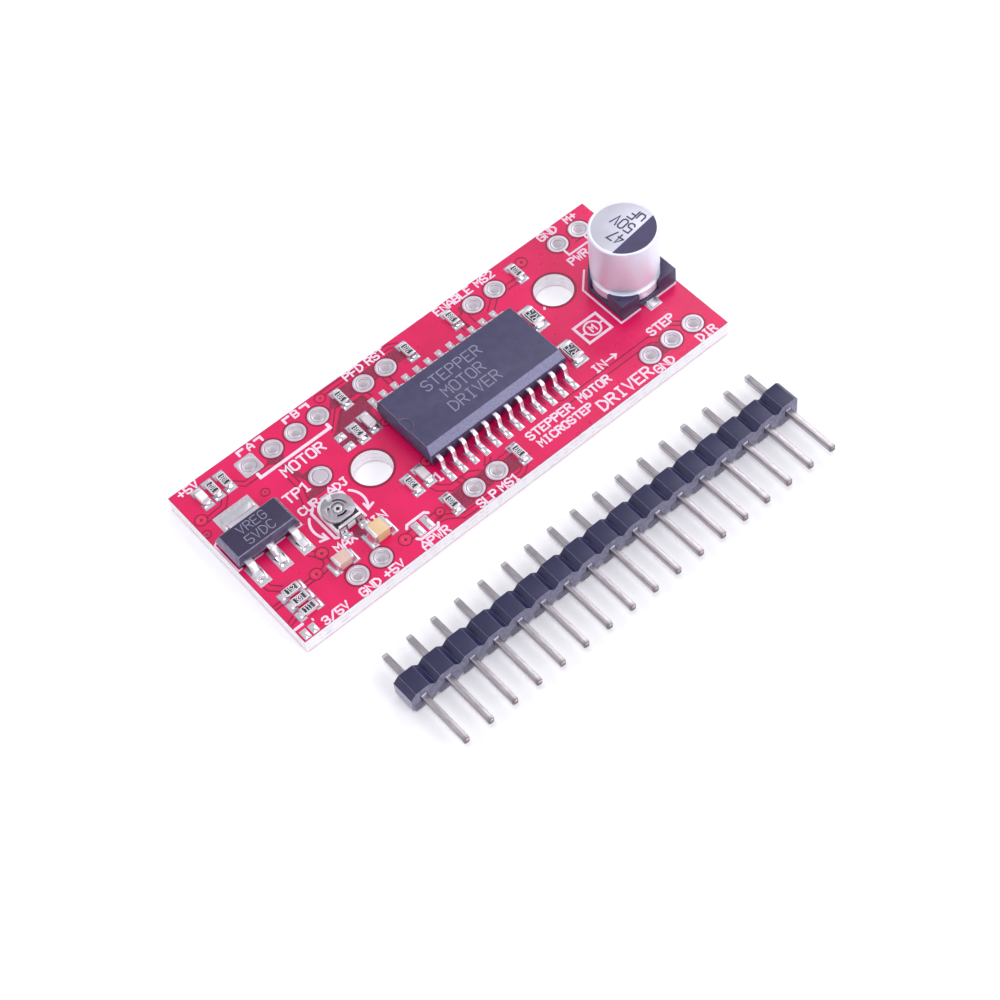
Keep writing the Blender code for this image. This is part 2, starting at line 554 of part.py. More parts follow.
def ring_sector(radius, half_width, start, end):
    """The outline of an arc-shaped slot about the origin, in degrees from +X."""
    steps = max(3, round((end - start) / 15))
    angles = [math.radians(start + (end - start) * step / steps) for step in range(steps + 1)]
    outer = [((radius + half_width) * math.cos(a), (radius + half_width) * math.sin(a)) for a in angles]
    inner = [((radius - half_width) * math.cos(a), (radius - half_width) * math.sin(a)) for a in angles]
    return outer + inner[::-1]


# node, size, centre and whether the chip's length runs along Y
CHIPS = (
    ("resistor_led", CHIP_0603, (-20.4, 7.7), True),
    ("resistor_adjust_a", CHIP_0603, (-19.15, 7.7), True),
    ("resistor_reset", CHIP_0603, (-6.4, 7.6), True),
    ("resistor_vref_back", CHIP_0603, (1.15, 7.6), True),
    ("resistor_enable", CHIP_0603, (6.3, 7.6), True),
    ("resistor_mode_back", CHIP_0603, (13.95, 7.6), True),
    ("resistor_timing_back", CHIP_0603, (-7.6, 3.7), True),
    ("resistor_timing_front", CHIP_0603, (-7.6, -3.8), True),
    ("resistor_sleep", CHIP_0603, (-6.35, -7.6), True),
    ("resistor_mode_front", CHIP_0603, (1.15, -7.6), True),
    ("resistor_sense_back", CHIP_SENSE, (11.6, 2.6), True),
    ("resistor_sense_front", CHIP_SENSE, (11.55, -2.7), True),
    ("resistor_divider_a", CHIP_0603, (-21.65, -5.1), False),
    ("resistor_divider_b", CHIP_0603, (-21.65, -6.3), False),
    ("resistor_divider_c", CHIP_0603, (-21.65, -7.5), False),
    ("capacitor_timing_back", CHIP_0603_CAP, (-6.2, 3.9), True),
    ("capacitor_timing_front", CHIP_0603_CAP, (-6.25, -3.7), True),
    ("capacitor_supply_left", CHIP_SMALL_SUPPLY, (-16.72, -5.83), False),
    ("capacitor_supply_right", CHIP_LARGE_SUPPLY, (-12.7, -5.7), False),
)


def make_chips():
    for name, (length, width, height), (x, y), upright in CHIPS:
        size = (width, length) if upright else (length, width)
        finish = RESISTOR if name.startswith("resistor") else TAN_CERAMIC
        mesh = block_mesh(name, (-size[0] / 2, -size[1] / 2, 0), (size[0] / 2, size[1] / 2, height), CHIP_EDGE)
        add(name, mesh, finish, (x * MM, y * MM, SEAT_Z))

    # the power light: a thin base with a narrower moulded lens
    length, width, _ = CHIP_0603
    half, lens, top = length / 2, length * 0.3, 2 * LED_STEP
    profile = [(-half, 0), (half, 0), (half, LED_STEP), (lens, LED_STEP), (lens * 0.85, top),
               (-lens * 0.85, top), (-lens, LED_STEP), (-half, LED_STEP)]
    mesh = outline_mesh("power_led", profile, width)
    mesh.transform(STAND_IN_YZ)
    add("power_led", mesh, LED_LENS, (-21.6 * MM, 7.6 * MM, SEAT_Z))


def make_header():
    """The break-away strip: a row of notched plastic segments with a square pin through each."""
    frame = bpy.data.objects.new("header_frame", None)
    frame.location = (*HEADER_AT, HEADER_HEIGHT / 2)
    parts.objects.link(frame)
    half, notch = PITCH / 2, HEADER_NOTCH
    top = HEADER_HEIGHT / 2
    upper, lower = [], []
    for n in range(HEADER_PINS):
        x = n * PITCH
        upper += [(x - half, top - notch), (x - half + notch, top), (x + half - notch, top)]
        lower += [(x - half, notch - top), (x - half + notch, -top), (x + half - notch, -top)]
    end = (HEADER_PINS - 1) * PITCH + half - HEADER_END_TRIM
    slope = notch - HEADER_END_TRIM
    upper.append((end, top - slope))
    lower.append((end, slope - top))
    mesh = outline_mesh("header_insulator", lower + upper[::-1], HEADER_DEPTH)
    mesh.transform(STAND_IN_XZ)
    insulator = add("header_insulator", mesh, HEADER_PLASTIC)
    insulator.parent = frame
    hole, reach = PIN_SIDE / 2 + GAP, HEADER_DEPTH
    holes = [((n * PITCH - hole, -reach, -hole), (n * PITCH + hole, reach, hole)) for n in range(HEADER_PINS)]
    cut(insulator, blocks_mesh("pin_channels", holes), frame.location)

    side = PIN_SIDE / 2
    bm = bmesh.new()
    bmesh.ops.create_cube(bm, size=1.0)
    bmesh.ops.scale(bm, vec=(PIN_SIDE, PIN_SHORT_TIP - PIN_LONG_TIP, PIN_SIDE), verts=bm.verts)
    bmesh.ops.translate(bm, vec=(0, (PIN_SHORT_TIP + PIN_LONG_TIP) / 2, 0), verts=bm.verts)
    tip_edges = [edge for edge in bm.edges if abs(edge.verts[0].co.y - edge.verts[1].co.y) < side]
    bmesh.ops.bevel(bm, geom=tip_edges, offset=PIN_TAPER, segments=1, affect="EDGES")
    pin_mesh = mesh_from(bm, "header_pin")
    pin_mesh.materials.append(PIN_METAL)
    for n in range(HEADER_PINS):
        pin = add(f"header_pin_{n + 1:02d}", pin_mesh, at=(n * PITCH, 0, 0))
        pin.parent = frame


make_board()
make_driver()
make_regulator()
make_capacitor()
make_trimmer()
make_chips()
make_header()
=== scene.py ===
import json
import math

import bmesh
import bpy
from mathutils import Matrix, Vector


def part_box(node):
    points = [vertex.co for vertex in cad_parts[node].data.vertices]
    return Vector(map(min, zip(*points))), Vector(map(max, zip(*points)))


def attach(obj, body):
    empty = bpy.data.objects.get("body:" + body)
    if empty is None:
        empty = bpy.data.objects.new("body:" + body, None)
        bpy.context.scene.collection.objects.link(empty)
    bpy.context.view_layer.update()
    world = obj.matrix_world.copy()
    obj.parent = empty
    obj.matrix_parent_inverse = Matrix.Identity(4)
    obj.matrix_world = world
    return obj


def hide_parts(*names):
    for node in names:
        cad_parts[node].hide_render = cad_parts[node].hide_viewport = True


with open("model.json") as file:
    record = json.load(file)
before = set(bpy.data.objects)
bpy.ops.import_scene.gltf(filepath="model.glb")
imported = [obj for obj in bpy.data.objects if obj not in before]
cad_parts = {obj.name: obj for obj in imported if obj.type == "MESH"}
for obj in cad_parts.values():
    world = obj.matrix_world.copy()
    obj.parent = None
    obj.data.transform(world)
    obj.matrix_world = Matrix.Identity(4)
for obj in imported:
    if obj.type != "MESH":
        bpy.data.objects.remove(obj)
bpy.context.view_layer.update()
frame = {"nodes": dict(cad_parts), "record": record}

MM = 0.001


def box_mm(name):
    """A CAD node's lowest and highest corners, in millimetres."""
    return tuple(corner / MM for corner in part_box(name))


# sizes and places are in millimetres, with the middle of the board at X = Y = 0
PITCH = 2.54
ROW_Y = 7.62
FIRST_PIN_X = -16.61
BACK_ROW_PINS = (0, 1, 2, 3, 5, 6, 10, 11, 14, 15)
FRONT_ROW_PINS = (0, 1, 5, 6, 13, 14, 15)
LEAD_COUNT, LEAD_PITCH = 12, 1.27
HEADER_PINS = 17
BOARD_LOW, BOARD_HIGH = box_mm("pcb")
TOP = BOARD_HIGH.z
BODY_OF = {node: body for body, nodes in frame["record"]["behaviour"]["bodies"].items() for node in nodes}

# thin layers on the board, as heights above its upper face
SUNK = -0.01  # they start a little inside what they lie on
BARE_LAYER = (SUNK, 0.004)
GAP_LAYER = (SUNK, 0.007)
INK_LAYER = (0.0, 0.022)
CODE_LAYER, MARK_LAYER = (SUNK, 0.012), (SUNK, 0.004)  # on a resistor, and on a moulded case
PAD_RISE, BARE_PAD_RISE = 0.035, 0.045
SOLDER_BASE = 0.03
STEP_UP = 0.008  # between thin shapes that lie over each other
OUTLINE_GAP = 0.004  # between what lies on the board and its cut edges
RING_DEPTH = 0.03  # how far the rings stand out from the underside


# ---------------------------------------------------------------- materials

def new_material(name, colour, roughness, metallic=0.0, coat=0.0):
    """A Principled material, its tree and its shader. Plain values sit on the shader's own sockets."""
    made = bpy.data.materials.new(name)
    made.use_nodes = True
    shader = made.node_tree.nodes["Principled BSDF"]
    shader.inputs["Base Color"].default_value = (*colour, 1.0)
    shader.inputs["Roughness"].default_value = roughness
    shader.inputs["Metallic"].default_value = metallic
    shader.inputs["Coat Weight"].default_value = coat
    shader.inputs["Coat Roughness"].default_value = 0.12
    return made, made.node_tree, shader


def node(tree, kind, **values):
    made = tree.nodes.new("ShaderNode" + kind)
    for key, value in values.items():
        setattr(made, key, value)
    return made


def place_coordinates(tree, stretch=(1, 1, 1)):
    """Object coordinates in millimetres, stretched along the axes."""
    source = node(tree, "TexCoord")
    mapping = node(tree, "Mapping")
    mapping.inputs["Scale"].default_value = [value / MM for value in stretch]
    tree.links.new(source.outputs["Object"], mapping.inputs["Vector"])
    return mapping.outputs["Vector"]


def noise(tree, scale, detail=4.0, stretch=(1, 1, 1)):
    """Noise whose scale is in features per millimetre."""
    made = node(tree, "TexNoise")
    made.inputs["Scale"].default_value = scale
    made.inputs["Detail"].default_value = detail
    made.inputs["Roughness"].default_value = 0.55
    tree.links.new(place_coordinates(tree, stretch), made.inputs["Vector"])
    return made.outputs["Fac"]


def spread(tree, value, low, high, low_in=0.3, high_in=0.7):
    """A value mapped from one range to another, and held inside it."""
    made = node(tree, "MapRange")
    made.inputs["From Min"].default_value = low_in
    made.inputs["From Max"].default_value = high_in
    made.inputs["To Min"].default_value = low
    made.inputs["To Max"].default_value = high
    tree.links.new(value, made.inputs["Value"])
    return made.outputs["Result"]


def blend_colours(tree, share, first, second):
    """Two colours, or colour sockets, mixed by a share."""
    made = node(tree, "Mix", data_type="RGBA")
    tree.links.new(share, made.inputs["Factor"])
    sockets = [socket for socket in made.inputs if socket.type == "RGBA"]
    for socket, colour in zip(sockets, (first, second)):
        if isinstance(colour, tuple):
            socket.default_value = (*colour, 1.0)
        else:
            tree.links.new(colour, socket)
    return next(socket for socket in made.outputs if socket.type == "RGBA")


def math_node(tree, operation, first, second=None):
    """One sum on numbers or sockets."""
    made = node(tree, "Math", operation=operation)
    for socket, value in zip(made.inputs, (first, second)):
        if value is None:
            continue
        if isinstance(value, (int, float)):
            socket.default_value = value
        else:
            tree.links.new(value, socket)
    return made.outputs["Value"]


def surface(name, light, dark, roughness, metallic=0.0, grain=6.0, patch=0.8, rough_spread=0.08,
            bump_depth=0.004, stretch=(1, 1, 1), coat=0.0):
    """A finish with fine grain: two tones in patches, uneven gloss and a fine relief."""
    made, tree, shader = new_material(name, light, roughness, metallic, coat)
    patches = spread(tree, noise(tree, patch, 3.0, stretch), 0.0, 1.0)
    tree.links.new(blend_colours(tree, patches, light, dark), shader.inputs["Base Color"])
    fine = noise(tree, grain, 3.0, stretch)
    gloss = spread(tree, fine, roughness - rough_spread, roughness + rough_spread)
    tree.links.new(gloss, shader.inputs["Roughness"])
    relief = node(tree, "Bump")
    relief.inputs["Strength"].default_value = 0.6
    relief.inputs["Distance"].default_value = bump_depth * MM
    tree.links.new(fine, relief.inputs["Height"])
    tree.links.new(relief.outputs["Normal"], shader.inputs["Normal"])
    return made


def solder_mask_material():
    """Red mask above and below, layered pale fibreglass on the cut edges and in the large holes."""
    red, deep_red = (0.78, 0.003, 0.112), (0.68, 0.002, 0.088)
    made, tree, shader = new_material("solder_mask_red", red, 0.3)
    mottle = spread(tree, noise(tree, 0.35), 0.0, 1.0)
    mask = blend_colours(tree, mottle, red, deep_red)
    layers = spread(tree, noise(tree, 1.2, 5.0, (0.6, 0.6, 9.0)), 0.0, 1.0, 0.4, 0.7)
    glass = blend_colours(tree, layers, (0.94, 0.92, 0.95), (0.78, 0.73, 0.78))
    direction = node(tree, "SeparateXYZ")
    tree.links.new(node(tree, "NewGeometry").outputs["True Normal"], direction.inputs["Vector"])
    flat = math_node(tree, "GREATER_THAN", math_node(tree, "ABSOLUTE", direction.outputs["Z"]), 0.5)

    # on the cut edges the mask shows as a thin ragged line along the upper and the lower corner
    place = node(tree, "SeparateXYZ")
    tree.links.new(place_coordinates(tree), place.inputs["Vector"])
    middle = (BOARD_LOW.z + BOARD_HIGH.z) / 2
    from_middle = math_node(tree, "ABSOLUTE", math_node(tree, "SUBTRACT", place.outputs["Z"], middle))
    ragged = spread(tree, noise(tree, 2.5, 3.0), -0.03, 0.03)
    reach = math_node(tree, "ADD", from_middle, ragged)
    edge_depth = 0.07
    near_edge = []
    for axis, limit in (("X", BOARD_HIGH.x), ("Y", BOARD_HIGH.y)):
        away = math_node(tree, "ABSOLUTE", place.outputs[axis])
        near_edge.append(math_node(tree, "GREATER_THAN", away, limit - edge_depth))
    outside = math_node(tree, "MAXIMUM", *near_edge)
    corner = math_node(tree, "GREATER_THAN", reach, BOARD_HIGH.z - middle - 0.05)
    line = math_node(tree, "MULTIPLY", outside, corner)

    # broken darker dashes where the cut went through the weave
    dash = math_node(tree, "GREATER_THAN", noise(tree, 1.6, 3.0, (1.0, 1.0, 0.1)), 0.55)
    off_core = math_node(tree, "ABSOLUTE", math_node(tree, "ADD", from_middle, -0.28))
    core = math_node(tree, "LESS_THAN", off_core, 0.05)
    dark_share = math_node(tree, "MULTIPLY", math_node(tree, "MULTIPLY", dash, core), 0.45)
    glass = blend_colours(tree, dark_share, glass, (0.36, 0.30, 0.38))
    edge = blend_colours(tree, line, glass, (0.72, 0.22, 0.32))
    mask = blend_colours(tree, outside, mask, (0.42, 0.01, 0.07))
    tree.links.new(blend_colours(tree, flat, edge, mask), shader.inputs["Base Color"])
    tree.links.new(spread(tree, noise(tree, 0.8, 1.0), 0.27, 0.34), shader.inputs["Roughness"])
    return made


def pin_material():
    """Plated square wire, darker at its front tip and brighter at its back tip."""
    made, tree, shader = new_material("pin_wire", (0.5, 0.46, 0.47), 0.3, 1.0)
    low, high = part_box("header_pin_01")
    middle, half = (low.y + high.y) / 2 / MM, (high.y - low.y) / 2 / MM
    place = node(tree, "SeparateXYZ")
    tree.links.new(place_coordinates(tree), place.inputs["Vector"])
    backward = math_node(tree, "SUBTRACT", place.outputs["Y"], middle)
    front_tip = spread(tree, backward, 1.0, 0.0, 0.1 - half, 0.55 - half)
    back_tip = spread(tree, backward, 0.0, 1.0, half - 0.45, half - 0.2)
    along_pin = (3.0, 0.3, 3.0)
    streaks = spread(tree, noise(tree, 3.0, 4.0, along_pin), 0.0, 1.0)
    wire = blend_colours(tree, streaks, (0.53, 0.49, 0.52), (0.34, 0.31, 0.34))
    wire = blend_colours(tree, back_tip, wire, (0.86, 0.85, 0.84))
    tree.links.new(blend_colours(tree, front_tip, wire, (0.24, 0.2, 0.2)), shader.inputs["Base Color"])
    gloss = spread(tree, noise(tree, 8.0, 3.0, along_pin), 0.26, 0.42)
    tree.links.new(gloss, shader.inputs["Roughness"])
    return made


MASK = solder_mask_material()
BARE = surface("mask_over_bare_board", (0.33, 0.020, 0.075), (0.27, 0.015, 0.06), 0.3, grain=3.0,
               bump_depth=0.006)
GAP = surface("mask_in_gap", (0.30, 0.004, 0.045), (0.24, 0.003, 0.035), 0.32, grain=3.0)
VIA = surface("mask_over_via", (0.80, 0.03, 0.13), (0.66, 0.015, 0.09), 0.26, grain=5.0)
INK = surface("white_ink", (0.90, 0.74, 0.86), (0.84, 0.66, 0.80), 0.55, grain=9.0, bump_depth=0.006)
PLATING = surface("tinned_pad", (0.74, 0.67, 0.74), (0.62, 0.56, 0.63), 0.42, 0.85, grain=4.0)
PLATING_EDGE = surface("tinned_pad_edge", (0.40, 0.34, 0.42), (0.30, 0.25, 0.32), 0.4, 0.6, grain=5.0)
# the barrels are a near-white matt rather than tin, so the holes read as lit: painted light down the holes
BARREL_PAINTED_LIGHT = surface("plated_barrel", (0.99, 0.96, 0.98), (0.95, 0.91, 0.94), 0.5, grain=3.0)
SOLDER = surface("solder_fillet", (0.88, 0.86, 0.90), (0.70, 0.67, 0.73), 0.2, 1.0, grain=2.0,
                 patch=2.5, rough_spread=0.06, bump_depth=0.012)
LEAD = surface("lead_tin", (0.80, 0.78, 0.83), (0.68, 0.66, 0.72), 0.34, 1.0, grain=3.0, patch=1.0,
               rough_spread=0.05, bump_depth=0.002)
EPOXY = surface("moulded_epoxy", (0.062, 0.055, 0.13), (0.048, 0.042, 0.105), 0.48, grain=11.0, patch=1.2,
                rough_spread=0.1, bump_depth=0.016)
# the driver's front chamfer is painted much lighter than its top: a painted highlight of the front light
EPOXY_CHAMFER_HIGHLIGHT = surface("moulded_chamfer_painted_highlight", (0.27, 0.265, 0.42), (0.18, 0.175, 0.31), 0.5,
                        grain=12.0, patch=5.0, rough_spread=0.1, bump_depth=0.012)
# the regulator's front wall and left side are painted lighter than its top: painted light from the front
EPOXY_WALL_LIT = surface("moulded_wall_painted_light", (0.105, 0.085, 0.16), (0.05, 0.04, 0.09), 0.35, grain=6.0, patch=1.6,
                     rough_spread=0.1)
EPOXY_SIDE_LIT = surface("moulded_side_painted_light", (0.25, 0.21, 0.32), (0.15, 0.13, 0.21), 0.42, grain=6.0, patch=2.0,
                     rough_spread=0.1)
# the bevelled edges of the moulded cases are painted lighter: a painted highlight along the edges
EPOXY_EDGE_HIGHLIGHT = surface("moulded_edge_painted_highlight", (0.30, 0.28, 0.42), (0.12, 0.11, 0.21), 0.45, grain=7.0, patch=2.5)
EPOXY_DARK = surface("regulator_epoxy", (0.036, 0.026, 0.075), (0.028, 0.02, 0.06), 0.4,
                     grain=11.0, patch=1.2, bump_depth=0.012)
LASER = surface("laser_mark", (0.27, 0.27, 0.38), (0.2, 0.2, 0.3), 0.7, grain=14.0, patch=6.0)
CAN = surface("can_satin", (0.87, 0.88, 1.0), (0.82, 0.82, 0.94), 0.5, 0.62, grain=5.0, patch=0.5,
              rough_spread=0.06, bump_depth=0.002, stretch=(1, 1, 0.15))
CAN_TOP = surface("can_top_satin", (0.68, 0.68, 0.78), (0.63, 0.63, 0.72), 0.5, 0.5, grain=6.0, patch=0.6,
                  rough_spread=0.05, bump_depth=0.002)
CAN_INK = surface("can_ink", (0.06, 0.045, 0.13), (0.045, 0.035, 0.10), 0.45, grain=8.0, bump_depth=0.003)
BASE_PLASTIC = surface("cap_base_plastic", (0.062, 0.045, 0.11), (0.045, 0.033, 0.085), 0.36, grain=8.0,
                       bump_depth=0.006)
RUBBER = surface("seal_rubber", (0.03, 0.03, 0.03), (0.02, 0.02, 0.02), 0.8)
FOIL = surface("wound_foil", (0.45, 0.4, 0.33), (0.38, 0.33, 0.27), 0.6, stretch=(1, 1, 4))
SILICON = surface("silicon_die", (0.25, 0.26, 0.3), (0.2, 0.21, 0.25), 0.2, 0.6)
ALUMINA = surface("alumina", (0.82, 0.80, 0.83), (0.74, 0.72, 0.76), 0.4, grain=9.0)
GLAZE = surface("resistor_glaze", (0.030, 0.028, 0.045), (0.022, 0.02, 0.032), 0.28, grain=10.0, coat=0.4)
DIGIT_INK = surface("digit_ink", (0.80, 0.80, 0.84), (0.7, 0.7, 0.75), 0.5, grain=16.0)
CHIP_END = surface("chip_end_tin", (0.84, 0.81, 0.85), (0.70, 0.67, 0.72), 0.33, 1.0, grain=5.0,
                   patch=3.0, bump_depth=0.006)
TAN = surface("tan_ceramic", (0.74, 0.52, 0.46), (0.66, 0.45, 0.39), 0.42, grain=9.0)
SAND = surface("sand_ceramic", (0.82, 0.60, 0.36), (0.74, 0.52, 0.30), 0.42, grain=9.0)
PALE_CERAMIC = surface("pale_ceramic", (0.78, 0.72, 0.76), (0.7, 0.64, 0.68), 0.4, grain=9.0)
LENS = surface("led_lens", (0.92, 0.90, 0.90), (0.88, 0.86, 0.84), 0.2, grain=5.0, coat=0.6)
CERAMIC = surface("trimmer_ceramic", (0.86, 0.85, 0.88), (0.80, 0.78, 0.82), 0.35, grain=8.0)
ROTOR_METAL = surface("rotor_metal", (0.50, 0.47, 0.52), (0.40, 0.37, 0.42), 0.4, 1.0, grain=7.0,
                      patch=1.5, bump_depth=0.006)
ROTOR_EDGE = surface("rotor_bright_edge", (0.86, 0.84, 0.88), (0.72, 0.70, 0.75), 0.3, 1.0,
                     grain=5.0, patch=2.0)
# dark finish for the resistive track, also used as painted shadow in the rivet's hollow, beside the wheel and
# in the terminals' holes
DARK_TRACK_AND_SHADE = surface("resistive_track_and_painted_shade", (0.045, 0.035, 0.055), (0.03, 0.024, 0.04), 0.5, grain=8.0)
# painted shadow on the trimmer's front wall
TRIMMER_WALL_SHADE = surface("trimmer_front_shade", (0.16, 0.14, 0.18), (0.10, 0.09, 0.12), 0.5,
                      grain=6.0, patch=2.5)
BRASS = surface("rivet_plate", (0.88, 0.85, 0.88), (0.76, 0.73, 0.77), 0.3, 1.0, grain=8.0)
HEADER_PLASTIC = surface("header_plastic", (0.020, 0.020, 0.075), (0.014, 0.014, 0.058), 0.38, grain=7.0,
                         patch=0.6, bump_depth=0.008)
# the header's bevelled edges are painted far lighter than its plastic: a painted highlight along the edges
HEADER_EDGE_HIGHLIGHT = surface("header_edge_painted_highlight", (0.30, 0.29, 0.44), (0.11, 0.105, 0.20), 0.42, grain=5.0, patch=1.6)
# the header's front faces, and the blocks on them, are painted far lighter than its plastic: painted light
# from the front
HEADER_FRONT_LIT = surface("header_front_painted_light", (0.235, 0.23, 0.33), (0.115, 0.11, 0.18), 0.45, grain=5.0, patch=4.0)
HEADER_BLOCK_LIT = surface("header_front_block_painted_light", (0.20, 0.19, 0.26), (0.10, 0.095, 0.145), 0.45,
                       grain=6.0, patch=6.0)
HEADER_END = surface("header_broken_end", (0.40, 0.39, 0.50), (0.24, 0.235, 0.34), 0.5, grain=5.0, patch=2.5,
                     bump_depth=0.012)
# a painted highlight on the lip above each pin, and painted shade on the cheeks beside it
HEADER_LIP_HIGHLIGHT = surface("header_pin_lip_painted_highlight", (0.74, 0.74, 0.90), (0.42, 0.41, 0.54), 0.35, grain=5.0, patch=2.4)
HEADER_CHEEK_SHADE = surface("header_pin_cheek_painted_shade", (0.06, 0.057, 0.10), (0.04, 0.038, 0.07), 0.45,
                       grain=6.0, patch=3.0)
PIN_METAL = pin_material()
PIN_EDGE = surface("pin_edge", (0.24, 0.21, 0.24), (0.15, 0.13, 0.15), 0.4, 1.0, grain=4.0)


# ---------------------------------------------------------------- mesh tools

def across(direction):
    """The direction in XY at a right angle to another."""
    return Vector((-direction.y, direction.x))


def directions(line, closed=False):
    """Each point of a line, the direction out of it, and the one halfway between in and out."""
    for index, point in enumerate(line):
        back = (point - line[index - 1]).normalized() if index or closed else None
        after = line[(index + 1) % len(line)]
        ahead = (after - point).normalized() if index + 1 < len(line) or closed else None
        back, ahead = back or ahead, ahead or back
        middle = back + ahead
        yield point, ahead, middle.normalized() if middle.length > 0.01 else ahead


def shifted(points, distance):
    """A line moved sideways by a distance, its corners mitred."""
    made = []
    for point, ahead, middle in directions([Vector(point) for point in points]):
        side = across(middle)
        made.append(tuple(point + side * distance / side.dot(across(ahead))))
    return made


def add_object(name, mesh, body, replaced=()):
    """A mesh as a piece that rides on a body, and stands for the CAD nodes that it replaces."""
    made = bpy.data.objects.new(name, mesh)
    bpy.context.scene.collection.objects.link(made)
    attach(made, body)
    if replaced:
        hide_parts(*replaced)
    return made


class Sculpt:
    """Collects closed shapes in one mesh. Each shape names its finish."""

    def __init__(self, name):
        self.name = name
        self.bm = bmesh.new()
        self.materials = []

    def take(self, part, finish, turn=0.0, about=(0, 0)):
        """A shape turned about an upright axis, moved to a place and added to the mesh."""
        if turn:
            matrix = Matrix.Rotation(turn, 3, "Z")
            bmesh.ops.rotate(part, cent=(0, 0, 0), matrix=matrix, verts=part.verts)
        bmesh.ops.translate(part, vec=(about[0], about[1], 0), verts=part.verts)
        bmesh.ops.recalc_face_normals(part, faces=part.faces)
        if finish not in self.materials:
            self.materials.append(finish)
        index = self.materials.index(finish)
        new = {vert: self.bm.verts.new(vert.co) for vert in part.verts}
        for face in part.faces:
            made = self.bm.faces.new([new[vert] for vert in face.verts])
            made.material_index = index
        part.free()

    def box(self, low, high, finish, bevel=0.0, steps=2, turn=0.0, about=(0, 0)):
        """A box between two corners, its edges rounded."""
        low, high = Vector(low), Vector(high)
        part = bmesh.new()
        bmesh.ops.create_cube(part, size=1.0)
        bmesh.ops.scale(part, vec=high - low, verts=part.verts)
        bmesh.ops.translate(part, vec=(low + high) / 2, verts=part.verts)
        if bevel:
            bmesh.ops.bevel(part, geom=part.edges[:], offset=bevel, segments=steps, affect="EDGES",
                            profile=0.5)
        self.take(part, finish, turn, about)

    def pad(self, low, high, turn=0.0, about=(0, 0), rise=PAD_RISE):
        """A tinned copper pad between two corners in XY."""
        self.box((*low, TOP + SUNK), (*high, TOP + rise), PLATING, 0.015, 1, turn, about)

    def loft(self, rings, finish, closed=False, turn=0.0, about=(0, 0)):
        """Rings of points joined in order. The ends are capped, or joined to each other if closed."""
        part = bmesh.new()
        rows = [[part.verts.new(point) for point in ring] for ring in rings]
        pairs = list(zip(rows, rows[1:]))
        if closed:
            pairs.append((rows[-1], rows[0]))
        for first, second in pairs:
            for index in range(len(first)):
                after = (index + 1) % len(first)
                part.faces.new((first[index], first[after], second[after], second[index]))
        if not closed:
            part.faces.new(rows[0][::-1])
            part.faces.new(rows[-1])
        self.take(part, finish, turn, about)

    def lathe(self, centre, profile, finish, steps=32, open_middle=True):
        """A profile of (radius, height) points turned about an upright axis: a ring, or a solid."""
        angles = [2 * math.pi * step / steps for step in range(steps)]
        spun = [[(centre[0] + r * math.cos(a), centre[1] + r * math.sin(a), z) for r, z in profile]
                for a in angles]
        if open_middle:
            self.loft(spun, finish, closed=True)
        else:
            self.loft(zip(*spun), finish)

    def ribbon(self, points, width, layer, finish, closed=False):
        """A flat strip that follows points in XY, between two heights, with round ends."""
        line = [Vector(point) for point in points]
        half = width / 2
        sections = []
        for point, ahead, middle in directions(line, closed):
            side = across(middle)
            lean = max(0.55, abs(side.dot(across(ahead))))
            sections.append((point, side, half / lean))
        if not closed:
            ahead = (line[1] - line[0]).normalized()
            back = (line[-1] - line[-2]).normalized()
            for angle in (30, 60, 82):
                turn = math.radians(angle)
                reach = half * math.cos(turn)
                sections.insert(0, (line[0] - ahead * half * math.sin(turn), across(ahead), reach))
                sections.append((line[-1] + back * half * math.sin(turn), across(back), reach))
        low, high = TOP + layer[0], TOP + layer[1]
        rings = []
        for point, side, reach in sections:
            left, right = point + side * reach, point - side * reach
            rings.append([(*left, low), (*left, high), (*right, high), (*right, low)])
        self.loft(rings, finish, closed=closed)

    def prism(self, outline, layer, finish):
        """A flat outline in XY between two heights."""
        self.loft([[(x, y, TOP + height) for x, y in outline] for height in layer], finish)

    def strip(self, path, thick, half_width, finish, about):
        """A bent strip: its path is in YZ and its width lies along X."""
        rings = []
        x, y, z = about
        for point, _, middle in directions([Vector(point) for point in path]):
            side = across(middle) * thick / 2
            upper, lower = point + side, point - side
            corners = ((-1, upper), (1, upper), (1, lower), (-1, lower))
            rings.append([(x + end * half_width, y + place.x, z + place.y) for end, place in corners])
        self.loft(rings, finish)

    def fillet(self, inner, outer, half_inner, half_outer, height, steps=6, turn=0.0, about=(0, 0),
               base=SOLDER_BASE):
        """Solder that climbs from a pad's edge (outer) up to a metal end (inner), along local +X."""
        toe = 0.025
        floor = TOP + base
        rings = []
        for step in range(steps + 1):
            share = step / steps
            x = inner + (outer - inner) * share
            half = half_inner + (half_outer - half_inner) * share
            rise = toe + (height - toe) * (1 - share) ** 2.1
            ring = [(x, half * side, floor + rise * (1 - 0.55 * abs(side) ** 3))
                    for side in (-1.0, -0.8, -0.4, 0.0, 0.4, 0.8, 1.0)]
            rings.append(ring + [(x, half, floor), (x, -half, floor)])
        self.loft(rings, SOLDER, turn=turn, about=about)

    def text(self, words, centre, height, layer, finish, width=0.14, turn=0.0, squeeze=1.0, base=0.0):
        """Stroked lettering, centred, with its cap height. Its layer starts from a base above the board."""
        unit = height / 6
        advance = 5.5 * unit * squeeze
        length = advance * len(words) - 1.5 * unit * squeeze
        cosine, sine = math.cos(turn), math.sin(turn)
        for index, letter in enumerate(words):
            for order, stroke in enumerate(GLYPHS.get(letter, ())):
                points = []
                for pair in stroke.split():
                    x = index * advance + int(pair[0]) * unit * squeeze - length / 2
                    y = (int(pair[1]) - 3) * unit
                    points.append((centre[0] + x * cosine - y * sine, centre[1] + x * sine + y * cosine))
                closed = points[0] == points[-1]
                if closed:
                    points = points[:-1]
                lift = base + STEP_UP * order
                self.ribbon(points, width, (layer[0] + lift, layer[1] + lift), finish, closed=closed)

